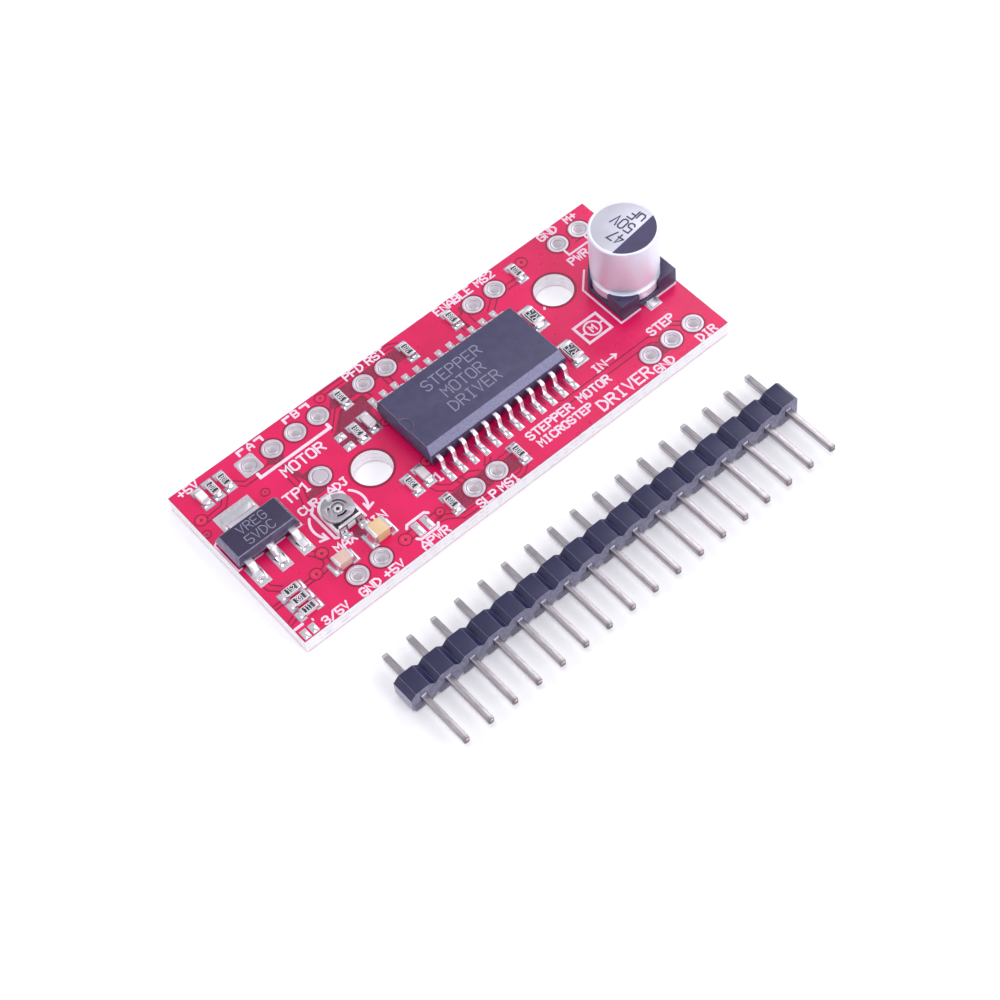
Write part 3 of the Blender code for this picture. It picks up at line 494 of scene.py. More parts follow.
    def piece(self, slot, replaced=(), smooth=32, body="board"):
        """The finished object, riding on its body. What lies on the board ends at the board's outline."""
        if body == "board":
            for vert in self.bm.verts:
                vert.co.x = min(max(vert.co.x, BOARD_LOW.x + OUTLINE_GAP), BOARD_HIGH.x - OUTLINE_GAP)
                vert.co.y = min(max(vert.co.y, BOARD_LOW.y + OUTLINE_GAP), BOARD_HIGH.y - OUTLINE_GAP)
            bmesh.ops.dissolve_degenerate(self.bm, dist=0.0005, edges=self.bm.edges)
        bmesh.ops.scale(self.bm, vec=(MM, MM, MM), verts=self.bm.verts)
        mesh = bpy.data.meshes.new(self.name)
        self.bm.to_mesh(mesh)
        self.bm.free()
        for finish in self.materials:
            mesh.materials.append(finish)
        mesh.shade_smooth()
        mesh.set_sharp_from_angle(angle=math.radians(smooth))
        add_object(self.name, mesh, body, replaced)


def refined(name, finish, bevel, edge=None, accents=(), segments=2):
    """A copy of a CAD node with softened edges, which stands for it.

    The edges can have their own finish, and so can the faces that point in one direction.
    """
    bm = bmesh.new()
    bm.from_mesh(frame["nodes"][name].data)
    bmesh.ops.remove_doubles(bm, verts=bm.verts, dist=0.0001 * MM)
    bmesh.ops.dissolve_limit(bm, angle_limit=math.radians(0.5), verts=bm.verts[:], edges=bm.edges[:])
    bmesh.ops.recalc_face_normals(bm, faces=bm.faces)
    mesh = bpy.data.meshes.new(name + "_finished")
    bm.to_mesh(mesh)
    bm.free()
    for used in (finish, edge or finish, *(accent for _, accent in accents)):
        mesh.materials.append(used)
    nearly_along = 0.96
    for polygon in mesh.polygons:
        polygon.material_index = 0
        for index, (direction, _) in enumerate(accents):
            if polygon.normal.dot(Vector(direction).normalized()) > nearly_along:
                polygon.material_index = index + 2
    mesh.shade_smooth()
    made = add_object(name + "_finished", mesh, BODY_OF[name], (name,))
    soften = made.modifiers.new("soften", "BEVEL")
    soften.width = bevel * MM
    soften.segments = segments
    soften.limit_method = "ANGLE"
    soften.angle_limit = math.radians(25)
    soften.harden_normals = True
    if edge:
        soften.material = 1


def repaint(name, finish):
    """A CAD node that is shown as it is, in a finished material."""
    materials = frame["nodes"][name].data.materials
    materials.clear()
    materials.append(finish)


# letters as strokes on a grid four units wide and six high: each pair of digits is an x and a y
GLYPHS = {
    "A": ("00 03 26 43 40", "02 42"),
    "B": ("00 06 36 45 44 33", "33 03", "33 42 41 30 00"),
    "C": ("45 36 16 05 01 10 30 41",),
    "D": ("00 06 26 44 42 20 00",),
    "E": ("46 06 00 40", "03 33"),
    "F": ("46 06 00", "03 33"),
    "G": ("45 36 16 05 01 10 30 41 43 23",),
    "I": ("16 36", "26 20", "10 30"),
    "J": ("16 46", "36 31 20 10 01"),
    "L": ("06 00 40",),
    "M": ("00 06 23 46 40",),
    "N": ("00 06 40 46",),
    "O": ("16 36 45 41 30 10 01 05 16",),
    "P": ("00 06 36 45 44 33", "33 03"),
    "R": ("00 06 36 45 44 33", "33 03", "23 40"),
    "S": ("45 36 16 05 04 13 33 42 41 30 10 01",),
    "T": ("06 46", "26 20"),
    "U": ("06 01 10 30 41 46",),
    "V": ("06 20 46",),
    "W": ("06 10 24 30 46",),
    "X": ("06 40", "46 00"),
    "u": ("04 01 10 30 41", "44 40"),
    "0": ("16 36 45 41 30 10 01 05 16",),
    "1": ("05 26 20", "10 30"),
    "2": ("05 16 36 45 44 00 40",),
    "3": ("05 16 36 45 44 33 13", "33 42 41 30 10 01"),
    "4": ("30 36 02", "02 42"),
    "5": ("46 06 03 33 42 41 30 10 01",),
    "7": ("06 46 10",),
    "+": ("21 25", "03 43"),
    "/": ("00 46",),
}


# ---------------------------------------------------------------- board

def arc(centre, radius, start, end, steps=12):
    """Points on a circle, in degrees from +X."""
    angles = [math.radians(start + (end - start) * step / steps) for step in range(steps + 1)]
    return [(centre[0] + radius * math.cos(a), centre[1] + radius * math.sin(a)) for a in angles]


def circle(centre, radius, steps=28):
    """The points of a closed circle."""
    return arc(centre, radius, 0, 360, steps)[:-1]


def pin_places():
    """The middles of the header holes that have a ring: the back row, then the front row."""
    back = [(FIRST_PIN_X + PITCH * n, ROW_Y) for n in BACK_ROW_PINS]
    front = [(FIRST_PIN_X + PITCH * n, -ROW_Y) for n in FRONT_ROW_PINS]
    return back + front


TEST_POINT = (-12.79, 2.44)
MOUNTING_HOLES = ((-8.98, 0.0), (15.12, 3.81))
PAD_R = 1.0
HOLE_R = 0.5
VIAS = (
    (-23.0, 5.9, 0.5), (-23.5, 4.4, 0.32), (-17.25, 4.4, 0.32), (-17.5, -3.85, 0.5), (-19.1, -5.15, 0.5),
    (-11.5, -7.65, 0.52), (-7.6, -7.5, 0.35), (-7.7, 9.0, 0.42), (-5.1, 3.0, 0.36), (-5.1, -2.7, 0.45),
    (15.1, 8.3, 0.5),
)


def make_board():
    """The board itself. Its underside is raised a little, so the rings below stand out from it."""
    mesh = frame["nodes"]["pcb"].data.copy()
    mesh.materials.clear()
    mesh.materials.append(MASK)
    for vert in mesh.vertices:
        vert.co.z = max(vert.co.z, (BOARD_LOW.z + RING_DEPTH) * MM)
    add_object("board_laminate", mesh, "board", ("pcb",))


def make_pads():
    """The plated holes: a low ring above and below, joined by a barrel through the board."""
    pads = Sculpt("header_pads")
    barrels = Sculpt("plated_barrels")
    bottom = BOARD_LOW.z
    steps = 36
    bank = HOLE_R + 0.05
    for index, place in enumerate(pin_places()):
        rings = []
        for x, y in circle((0, 0), 1, steps):
            # the first pad is nearly square
            edge = min(1.0 / max(abs(x), 1e-6), 1.04 / max(abs(y), 1e-6)) if index == 0 else PAD_R
            profile = [
                (edge, TOP + SUNK), (edge - 0.03, TOP + 0.03), (edge - 0.16, TOP + 0.045),
                (0.74, TOP + 0.035), (0.70, TOP + 0.01), (0.66, TOP + 0.012), (0.62, TOP + 0.055),
                (HOLE_R - 0.01, TOP + 0.035), (HOLE_R - 0.02, TOP - 0.08), (bank, TOP - 0.09),
                (bank, bottom + 0.002), (edge - 0.03, bottom + 0.002), (edge, bottom + 0.01),
            ]
            rings.append([(place[0] + r * x, place[1] + r * y, z) for r, z in profile])
        pads.loft(rings, PLATING, closed=True)
        pads.ribbon(circle(place, 0.68), 0.07, (0.0, 0.018), PLATING_EDGE, closed=True)
        barrels.lathe(place, [(bank + 0.005, TOP - 0.095), (HOLE_R - 0.03, TOP - 0.085),
                              (HOLE_R - 0.08, bottom + 0.05), (HOLE_R - 0.05, bottom + 0.004),
                              (bank + 0.005, bottom + 0.004)], BARREL_PAINTED_LIGHT, steps)
    pads.piece("tinned_copper")
    barrels.piece("tinned_copper")

    spot = Sculpt("test_pad")
    spot.lathe(TEST_POINT, [(1.05, TOP + SUNK), (1.03, TOP + 0.03), (0.88, TOP + 0.05), (0.78, TOP + 0.035),
                            (0.74, TOP + 0.01), (0.68, TOP + 0.012), (0.62, TOP + 0.05), (0.1, TOP + 0.035)],
               PLATING, 36, open_middle=False)
    spot.ribbon(circle(TEST_POINT, 0.71), 0.07, (0.0, 0.02), PLATING_EDGE, closed=True)
    spot.piece("tinned_copper")


# traces under the mask, as a centre line and a width: they show by the dark gaps on both sides
TRACES = (
    (0.36, ((-18.75, 7.1), (-18.0, 6.3), (-15.2, 6.3))),
    (0.40, ((-14.7, 5.6), (-14.7, 3.0), (-15.35, 1.1))),
    (0.36, ((-22.7, 5.55), (-20.75, 5.7), (-20.0, 6.5))),
    (0.42, ((-22.85, -3.15), (-22.8, -3.5), (-22.1, -4.3))),
    (0.40, ((-18.25, -3.15), (-17.85, -3.7), (-17.6, -4.4), (-17.75, -5.0), (-18.4, -5.3), (-19.0, -5.35))),
    (0.30, ((-20.5, -5.35), (-19.6, -5.35))),
    (0.66, ((-11.1, -7.62), (-10.3, -7.62))),
    (0.66, ((-8.8, -7.62), (-7.8, -7.62))),
    (0.36, ((-8.3, -8.05), (-7.5, -8.25), (-6.3, -9.2), (0.1, -9.3), (0.8, -8.8))),
    (0.40, ((-8.95, 5.2), (-7.3, 6.92), (-4.6, 6.92), (-4.45, 6.0))),
    (0.34, ((-7.3, 9.25), (0.3, 9.25), (1.0, 8.8))),
    (0.40, ((-2.05, 6.8), (-2.05, 5.9))),
    (0.50, ((-6.35, -5.0), (-6.2, -5.5), (-5.3, -6.3), (-3.3, -6.3), (-2.5, -6.9))),
    (0.34, ((-1.6, -6.6), (-1.0, -6.0))),
    (0.34, ((-0.5, -6.95), (0.7, -6.95))),
    (0.40, ((-4.1, -6.7), (-4.3, -5.95))),
    (0.60, ((7.85, 7.5), (7.35, 7.2), (7.35, 5.95))),
    (0.45, ((10.6, 6.8), (9.45, 5.9))),
    (0.45, ((12.2, 7.0), (13.3, 7.0))),
    (0.34, ((6.6, 6.4), (6.6, 5.9))),
    (0.50, ((7.0, -5.95), (7.5, -6.3), (17.4, -6.3), (18.3, -6.9))),
    (0.34, ((19.9, -6.1), (20.8, -6.9))),
    (0.40, ((20.3, 6.9), (20.9, 6.9))),
    (0.30, ((-23.7, -5.4), (-22.9, -5.4))),
    (0.30, ((-23.7, -7.5), (-22.8, -7.2))),
)

# places where the board has no copper under its mask
BARE_AREAS = (
    ((-9.0, 5.2), (-7.35, 6.7), (-4.75, 6.7), (-4.75, 5.15), (-5.35, 4.7), (-5.35, 3.2), (-5.8, 2.85),
     (-9.5, 2.75), (-9.5, 4.9)),
    ((-8.0, 7.3), (-6.8, 8.7), (-4.55, 8.7), (-4.55, 7.15), (-4.9, 7.15)),
    ((-3.25, 8.7), (-2.05, 8.7), (-2.05, 7.15), (-3.25, 7.15)),
    ((-0.7, 8.7), (0.9, 8.7), (0.9, 7.2), (-0.4, 7.15), (-0.7, 7.15)),
    ((-15.3, 1.0), (-13.2, 1.0), (-12.6, 1.5), (-13.6, 2.3), (-14.5, 1.9)),
    ((-14.35, 5.5), (-13.9, 5.5), (-13.8, 3.6), (-12.6, 3.75), (-13.8, 2.6), (-14.35, 3.9)),
    ((-15.5, 6.6), (-14.9, 7.2), (-13.4, 7.0), (-13.9, 6.05), (-14.8, 6.05)),
    ((-5.9, -6.75), (-4.6, -6.75), (-4.9, -7.6), (-4.6, -8.75), (-5.9, -8.75)),
    ((-0.6, -7.2), (0.6, -7.2), (0.6, -8.75), (-0.8, -8.75), (-0.35, -7.6)),
    ((-3.2, -6.75), (-2.1, -6.75), (-2.3, -8.5), (-3.0, -8.5)),
    ((17.35, -6.9), (18.05, -6.9), (18.05, -8.4), (17.35, -8.4)),
    ((-14.3, -3.9), (-13.6, -3.9), (-13.4, -4.9), (-14.1, -5.3), (-14.5, -4.8)),
    ((7.45, 8.2), (7.75, 8.4), (7.75, 7.8), (7.3, 7.3)),
)


def make_copper():
    """What shows of the copper through the mask: dark gaps beside traces and pads, and bare areas."""
    gaps = Sculpt("trace_gaps")
    line = 0.13
    low, high = GAP_LAYER
    for index, (width, points) in enumerate(TRACES):
        layer = (low, high + STEP_UP * (index % 2))
        for side in (-1, 1):
            gaps.ribbon(shifted(points, side * (width + line) / 2), line, layer, GAP)
    rings = [(place, PAD_R + 0.08, line) for place in pin_places()[1:]]
    rings += [(place, 1.97, 0.22) for place in MOUNTING_HOLES]
    rings += [((x, y), radius + 0.08, 0.09) for x, y, radius in VIAS]
    rings.append((TEST_POINT, 1.13, line))
    for place, radius, width in rings:
        gaps.ribbon(circle(place, radius, 40), width, (low, high + 2 * STEP_UP), GAP, closed=True)
    gaps.piece("solder_mask")

    bare = Sculpt("bare_board_areas")
    for outline in BARE_AREAS:
        bare.prism(outline, BARE_LAYER, BARE)
    for x in lead_xs()[:-1]:
        middle = x + LEAD_PITCH / 2
        for side in (-1, 1):
            bare.prism([(middle - 0.1, side * 3.9), (middle + 0.1, side * 3.9),
                        (middle + 0.09, side * 5.3), (middle - 0.09, side * 5.3)], BARE_LAYER, BARE)
    bare.piece("solder_mask")

    vias = Sculpt("tented_vias")
    for x, y, radius in VIAS:
        vias.lathe((x, y), [(radius, TOP + SUNK), (radius - 0.02, TOP + 0.014), (radius * 0.55, TOP + 0.03),
                            (radius * 0.36, TOP + 0.022), (radius * 0.26, TOP + SUNK)], VIA, 24)
        vias.lathe((x, y), [(radius * 0.34, TOP + SUNK), (radius * 0.3, TOP + 0.006),
                            (radius * 0.05, TOP + 0.0055)], GAP, 20, open_middle=False)
    vias.piece("solder_mask")


def lead_xs():
    """The X of each of the driver's leads on one side."""
    low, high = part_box("driver_case")
    centre = (low.x + high.x) / 2 / MM
    return [centre + (index - (LEAD_COUNT - 1) / 2) * LEAD_PITCH for index in range(LEAD_COUNT)]


INK_WIDTH = 0.145
LABELS = (  # words, centre, cap height
    ("+5V", (-22.0, 9.25), 0.78), ("A", (-15.35, 9.2), 0.75), ("B", (-10.35, 9.2), 0.75),
    ("MOTOR", (-12.8, 4.87), 1.0), ("TP1", (-15.3, 2.45), 0.98), ("CUR", (-15.45, 0.6), 0.75),
    ("ADJ", (-12.35, 0.6), 0.75), ("MAX", (-15.4, -4.4), 0.8), ("MIN", (-12.1, -4.35), 0.8),
    ("3/5V", (-20.2, -9.25), 0.75), ("GND", (-16.55, -9.25), 0.78), ("+5V", (-14.0, -9.25), 0.78),
    ("APWR", (-9.5, -9.22), 0.8), ("PFD", (-3.8, 9.22), 0.78), ("RST", (-1.3, 9.22), 0.78),
    ("SLP", (-3.8, -9.25), 0.78), ("MS1", (-1.4, -9.25), 0.78), ("1", (-5.4, -4.65), 0.9),
    ("ENABLE", (7.75, 9.22), 0.78), ("MS2", (11.4, 9.22), 0.78), ("GND", (19.05, 9.22), 0.78),
    ("M+", (21.8, 9.2), 0.75), ("PWR", (19.3, 5.15), 0.8), ("STEP", (19.35, -5.75), 0.82),
    ("DIR", (21.65, -9.22), 0.78), ("GND", (16.6, -9.22), 0.8), ("IN", (12.3, -5.45), 0.8),
    ("STEPPER MOTOR", (7.45, -6.88), 0.8), ("MICROSTEP", (6.05, -8.08), 0.74),
    ("DRIVER", (12.35, -8.75), 1.1),
)
INK_LINES = (  # width, points
    (0.24, ((-16.6, 8.95), (-16.6, 9.4), (-16.0, 9.4))),
    (0.24, ((-14.1, 8.95), (-14.1, 9.4), (-14.7, 9.4))),
    (0.24, ((-11.55, 8.95), (-11.55, 9.4), (-10.95, 9.4))),
    (0.24, ((-9.0, 8.95), (-9.0, 9.4), (-9.65, 9.4))),
    (0.32, ((-16.6, 6.35), (-16.6, 5.87), (-9.0, 5.87), (-9.0, 6.35))),
    (0.26, ((-15.35, 0.2), (-15.72, -0.15), (-15.72, -3.45), (-15.5, -3.6))),
    (0.22, ((-12.75, 0.2), (-12.42, -0.15), (-12.42, -3.45))),
    (0.16, ((-23.35, 3.2), (-23.7, 3.0), (-23.7, -0.42), (-23.3, -0.42))),
    (0.16, ((-22.0, -0.42), (-21.1, -0.42))),
    (0.16, ((-19.7, -0.42), (-18.8, -0.42))),
    (0.16, ((-17.4, -0.42), (-16.98, -0.42), (-16.98, 3.3), (-17.2, 3.4))),
    (0.26, ((-23.7, -8.2), (-22.9, -8.2))),
    (0.16, ((-22.0, -8.35), (-22.0, -8.5))),
    (0.26, ((-10.75, -6.9), (-10.5, -6.62), (-8.65, -6.62), (-8.4, -6.9))),
    (0.26, ((-10.75, -8.25), (-10.5, -8.55), (-8.65, -8.55), (-8.4, -8.25))),
    (0.2, ((18.85, 6.55), (18.85, 5.88), (21.35, 5.88), (21.35, 6.55))),
    (0.18, ((18.6, 3.6), (17.0, 1.95), (16.98, -3.22), (19.25, -3.22))),
    (0.18, ((21.2, -3.22), (23.45, -3.22), (23.68, -3.0))),
    (0.22, ((13.1, 2.75), (13.4, 3.05))),
    (0.16, ((13.15, -5.45), (14.3, -5.45))),
    (0.16, ((13.95, -5.15), (14.3, -5.45), (13.95, -5.75))),
)


def make_printing():
    """The white lettering, the lines round the parts, and a motor symbol."""
    lettering = Sculpt("ink_lettering")
    for words, centre, height in LABELS:
        lettering.text(words, centre, height, INK_LAYER, INK, INK_WIDTH * (0.92 + 0.38 * height))
    lettering.piece("led_lens")

    lines = Sculpt("ink_outlines")
    low, high = INK_LAYER
    raised = (low, high + STEP_UP)
    for index, (width, points) in enumerate(INK_LINES):
        lines.ribbon(points, width, (low, high + STEP_UP * (index % 2)), INK)
    # two arrows that show which way to turn the trimmer
    for side, centre in ((1, (-14.75, -1.75)), (-1, (-13.3, -1.75))):
        bow = arc(centre, 1.95, 90 + side * 47, 90 + side * 128, 10)
        x, y = bow[-1]
        lines.ribbon(bow, 0.24, INK_LAYER, INK)
        head = [(x - side * 0.6, y + 0.1), (x + side * 0.08, y - 0.1), (x + side * 0.05, y + 0.55)]
        lines.ribbon(head, 0.22, raised, INK)
    lines.piece("led_lens")

    # a plain motor symbol in a square frame
    symbol = Sculpt("motor_symbol")
    left, right, front, back = 13.45, 16.05, -2.95, -0.75
    corners = [(left, front), (right, front), (right, back), (left, back)]
    symbol.ribbon(corners, 0.26, INK_LAYER, INK, closed=True)
    x, y = (left + right) / 2, (front + back) / 2
    symbol.ribbon(circle((x, y), 0.78), 0.18, INK_LAYER, INK, closed=True)
    symbol.text("M", (x, y), 0.72, INK_LAYER, INK, 0.17)
    for side in (-1, 1):
        symbol.ribbon([(x + side * 1.25, y), (x + side * 0.8, y)], 0.18, raised, INK)
    symbol.piece("led_lens")


BARE_PADS = (  # centre, width, length, how far the solder swells: a spare chip place and two solder jumpers
    (-9.0, 4.4, 0.95, 0.8, 0.12), (-9.0, 3.1, 0.95, 0.8, 0.12),
    (-10.05, -7.6, 0.72, 1.5, 0.1), (-9.05, -7.6, 0.72, 1.5, 0.1),
    (-23.3, -9.12, 0.66, 1.0, 0.1), (-22.45, -9.12, 0.66, 1.0, 0.1),
)


def make_bare_pads():
    """Pads with nothing on them but solder."""
    pads = Sculpt("bare_pads")
    for x, y, width, length, swell in BARE_PADS:
        pads.box((-width / 2, -length / 2, TOP + SUNK), (width / 2, length / 2, TOP + BARE_PAD_RISE), PLATING,
                 0.02, about=(x, y))
        rings = []
        for share in (1.0, 0.9, 0.65, 0.3, 0.08):
            height = TOP + BARE_PAD_RISE + SUNK + swell * (1 - share ** 2)
            reach_x, reach_y = 0.46 * width * share, 0.46 * length * share
            rings.append([(x + reach_x * cosine, y + reach_y * sine, height)
                          for cosine, sine in circle((0, 0), 1, 20)])
        pads.loft(rings, SOLDER)
    pads.piece("tinned_copper")


# ---------------------------------------------------------------- parts

RESISTOR_CODES = {
    "resistor_led": "102", "resistor_adjust_a": "103", "resistor_reset": "103", "resistor_vref_back": "103",
    "resistor_enable": "103", "resistor_mode_back": "103", "resistor_timing_back": "203",
    "resistor_timing_front": "203", "resistor_sleep": "103", "resistor_mode_front": "103",
    "resistor_divider_a": "152", "resistor_divider_b": "331", "resistor_divider_c": "111",
    "resistor_sense_back": "R75", "resistor_sense_front": "R75",
}


class Chip(Sculpt):
    """A small part with a tinned cap and solder at both ends, at the place of its CAD node."""

    def __init__(self, node_name):
        super().__init__(node_name + "_finished")
        low, high = box_mm(node_name)
        size = high - low
        self.half_width, self.half_length = sorted((size.x / 2, size.y / 2))
        self.turn = math.pi / 2 if size.y > size.x else 0.0
        centre = (low + high) / 2
        self.about = (centre.x, centre.y)
        self.low, self.high = low.z, high.z

    def block(self, half_length, half_width, low, high, finish, bevel, steps):
        """A box over the middle of the chip."""
        self.box((-half_length, -half_width, low), (half_length, half_width, high), finish, bevel, steps,
                 self.turn, self.about)

    def ends(self, length, high, bevel, steps):
        for side in (-1, 1):
            near, far = sorted((side * self.half_length, side * (self.half_length - length)))
            self.box((near, -self.half_width, self.low), (far, self.half_width, high), CHIP_END, bevel, steps,
                     self.turn, self.about)

    def soldering(self, high, reach=0.42, climb=0.8):
        """Pads and solder at both ends, up to a share of the part's height."""
        inner, outer = self.half_length - 0.25, self.half_length + reach
        side = self.half_width + 0.09
        rim = 0.06
        for end in (self.turn, self.turn + math.pi):
            self.box((inner - rim, -side - rim, TOP + SUNK), (outer + rim, side + rim, TOP + 0.008),
                     PLATING_EDGE, 0.0, 1, end, self.about)
            self.pad((inner, -side), (outer, side), end, self.about)
            self.fillet(self.half_length - 0.02, outer - 0.03, self.half_width * 0.98, side - 0.03,
                        (high - self.low) * climb, turn=end, about=self.about)


def make_resistor(name):
    chip = Chip(name)
    large = chip.half_length > 0.9
    end = 0.42 if large else 0.3
    top = chip.high
    chip.block(chip.half_length - 0.03, chip.half_width - 0.01, chip.low + 0.03, top - 0.02, ALUMINA, 0.02, 1)
    chip.block(chip.half_length - end + 0.05, chip.half_width - 0.1, top - 0.05, top, GLAZE, 0.02, 2)
    chip.ends(end, top, 0.055, 3)
    chip.text(RESISTOR_CODES[name], chip.about, 1.2 * chip.half_width, CODE_LAYER, DIGIT_INK,
              0.055 + 0.03 * chip.half_width, chip.turn, 0.62 if large else 0.56, top - TOP)
    chip.soldering(top, reach=0.5 if large else 0.42)
    chip.piece("resistor_coat", (name,))


def make_ceramic_capacitor(name, body, end):
    chip = Chip(name)
    chip.block(chip.half_length - 0.05, chip.half_width - 0.015, chip.low + 0.015, chip.high - 0.015, body,
               0.05, 3)
    chip.ends(end, chip.high, 0.09, 4)
    chip.soldering(chip.high, climb=0.7)
    chip.piece("tan_ceramic", (name,))


def make_power_led():
    led = Chip("power_led")
    step = (led.low + led.high) / 2
    led.block(led.half_length - 0.02, led.half_width, led.low, step, PALE_CERAMIC, 0.02, 1)
    led.ends(0.28, step + 0.02, 0.03, 2)
    led.block(led.half_length * 0.62, led.half_width - 0.01, step - 0.02, led.high, LENS, 0.09, 4)
    led.soldering(step, climb=0.9)
    led.piece("led_lens", ("power_led",))


def make_driver_soldering():
    """A pad under each lead, with solder in front of its toe and behind its heel."""
    sculpt = Sculpt("driver_soldering")
    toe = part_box("driver_leads_back")[1].y / MM
    for x in lead_xs():
        for turn in (math.pi / 2, -math.pi / 2):
            sculpt.pad((toe - 0.9, -0.3), (toe + 0.72, 0.3), turn, (x, 0))
            sculpt.fillet(toe - 0.03, toe + 0.66, 0.24, 0.27, 0.26, turn=turn, about=(x, 0))
            sculpt.fillet(-(toe - 0.72), -(toe - 0.95), 0.22, 0.25, 0.2, 4, turn + math.pi, (x, 0))
    sculpt.piece("tinned_copper")


def make_marks(name, lines, node_name, shift, size, pitch, width):
    """Faint laser lettering on the middle of a moulded case, or shifted from there."""
    marks = Sculpt(name)
    low, high = box_mm(node_name)
    centre = (low + high) / 2
    for index, words in enumerate(lines):
        drop = (len(lines) - 1) / 2 - index
        place = (centre.x + shift[0], centre.y + shift[1] + drop * pitch)
        marks.text(words, place, size, MARK_LAYER, LASER, width, squeeze=0.9, base=high.z - TOP)
    marks.piece("black_epoxy")


def make_regulator_soldering():
    sculpt = Sculpt("regulator_soldering")
    front = -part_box("regulator_lead_input")[0].y / MM
    for name in ("regulator_lead_input", "regulator_lead_adjust", "regulator_tab"):
        low, high = box_mm(name)
        x = (low.x + high.x) / 2
        turn = -math.pi / 2
        sculpt.pad((front - 1.85, -0.62), (front + 0.6, 0.62), turn, (x, 0))
        sculpt.fillet(front - 0.04, front + 0.42, 0.36, 0.5, 0.22, turn=turn, about=(x, 0))
        for turn in (math.pi, 0.0):
            sculpt.fillet(0.33, 0.56, 0.45, 0.5, 0.18, 4, turn, (x, -front + 0.45))
    # the tab is also soldered behind the case, where it is wide
    low, high = box_mm("regulator_tab")
    x, back = (low.x + high.x) / 2, high.y
    sculpt.pad((x - 1.88, back - 1.6), (x + 1.88, back + 0.75))
    sculpt.fillet(back - 0.04, back + 0.6, 1.5, 1.65, 0.1, turn=math.pi / 2, about=(x, 0))
    for turn in (math.pi, 0.0):
        sculpt.fillet(1.48, 1.74, 0.5, 0.55, 0.2, 4, turn, (x, back - 0.55))
    sculpt.piece("tinned_copper")


def make_capacitor():
    """The capacitor's can, the printing on its top and the solder at its leads."""
    low, high = box_mm("cap_can")
    centre = ((low.x + high.x) / 2, (low.y + high.y) / 2)
    radius = (high.x - low.x) / 2
    bottom, top = low.z, high.z
    rim = 0.17
    flat = radius - rim
    groove_z, groove_depth, groove_half = TOP + 2.0, 0.27, 0.4
    profile = [(radius - 0.12, bottom), (radius - 0.03, bottom + 0.05), (radius, bottom + 0.2)]
    for step in range(11):
        angle = math.pi * step / 10
        profile.append((radius - groove_depth * math.sin(angle) ** 1.4,
                        groove_z - groove_half * math.cos(angle)))
    profile.append((radius, (groove_z + top) / 2))
    for step in range(8):
        angle = math.radians(90 * step / 7)
        profile.append((flat + rim * math.cos(angle), top - rim + rim * math.sin(angle)))
    profile += [(flat - 0.03, top - 0.012), (flat - 0.08, top - 0.026), (flat - 0.2, top - 0.03),
                (0.2, top - 0.03)]
    can = Sculpt("cap_can_finished")
    can.lathe(centre, profile, CAN, 96, open_middle=False)
    disc = [(flat - 0.1, top - 0.04), (flat - 0.12, top - 0.022), (0.2, top - 0.022)]
    can.lathe(centre, disc, CAN_TOP, 96, open_middle=False)
    can.piece("can_aluminium", ("cap_can",), smooth=50)

    # a dark segment on the negative side, and the values beside it
    ink = Sculpt("cap_marking")
    layer = (top - TOP - 0.04, top - TOP - 0.008)
    lean = 7.0
    reach = flat - 0.01
    segment_edge = 1.12
    cut = math.degrees(math.asin(segment_edge / reach))
    ink.prism(arc(centre, reach, 180 + cut + lean, 360 - cut + lean, 24), layer, CAN_INK)
    turn = math.radians(90 + lean)
    for words, (along, aside) in (("47", (-0.25, 1.2)), ("50V", (0.3, -0.35)), ("uF", (-0.1, -1.75))):
        place = (centre[0] + math.cos(turn) * along - math.sin(turn) * aside,
                 centre[1] + math.sin(turn) * along + math.cos(turn) * aside)
        ink.text(words, place, 1.1, layer, CAN_INK, 0.15, turn, 0.76)
    ink.piece("base_plastic")

    soldering = Sculpt("capacitor_soldering")
    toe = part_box("cap_lead_positive")[1].y / MM - centre[1]
    for turn in (math.pi / 2, -math.pi / 2):
        soldering.pad((toe - 1.4, -0.72), (toe + 0.12, 0.72), turn, centre)
        soldering.fillet(toe - 0.75, toe + 0.1, 0.5, 0.68, 0.24, turn=turn, about=centre)
    soldering.piece("tinned_copper")


TRIMMER_CLIPS = (-0.85, 0.95)  # the X of the two front terminals, from the middle of the wheel
TRIMMER_WIPER = 0.15  # and of the foot behind


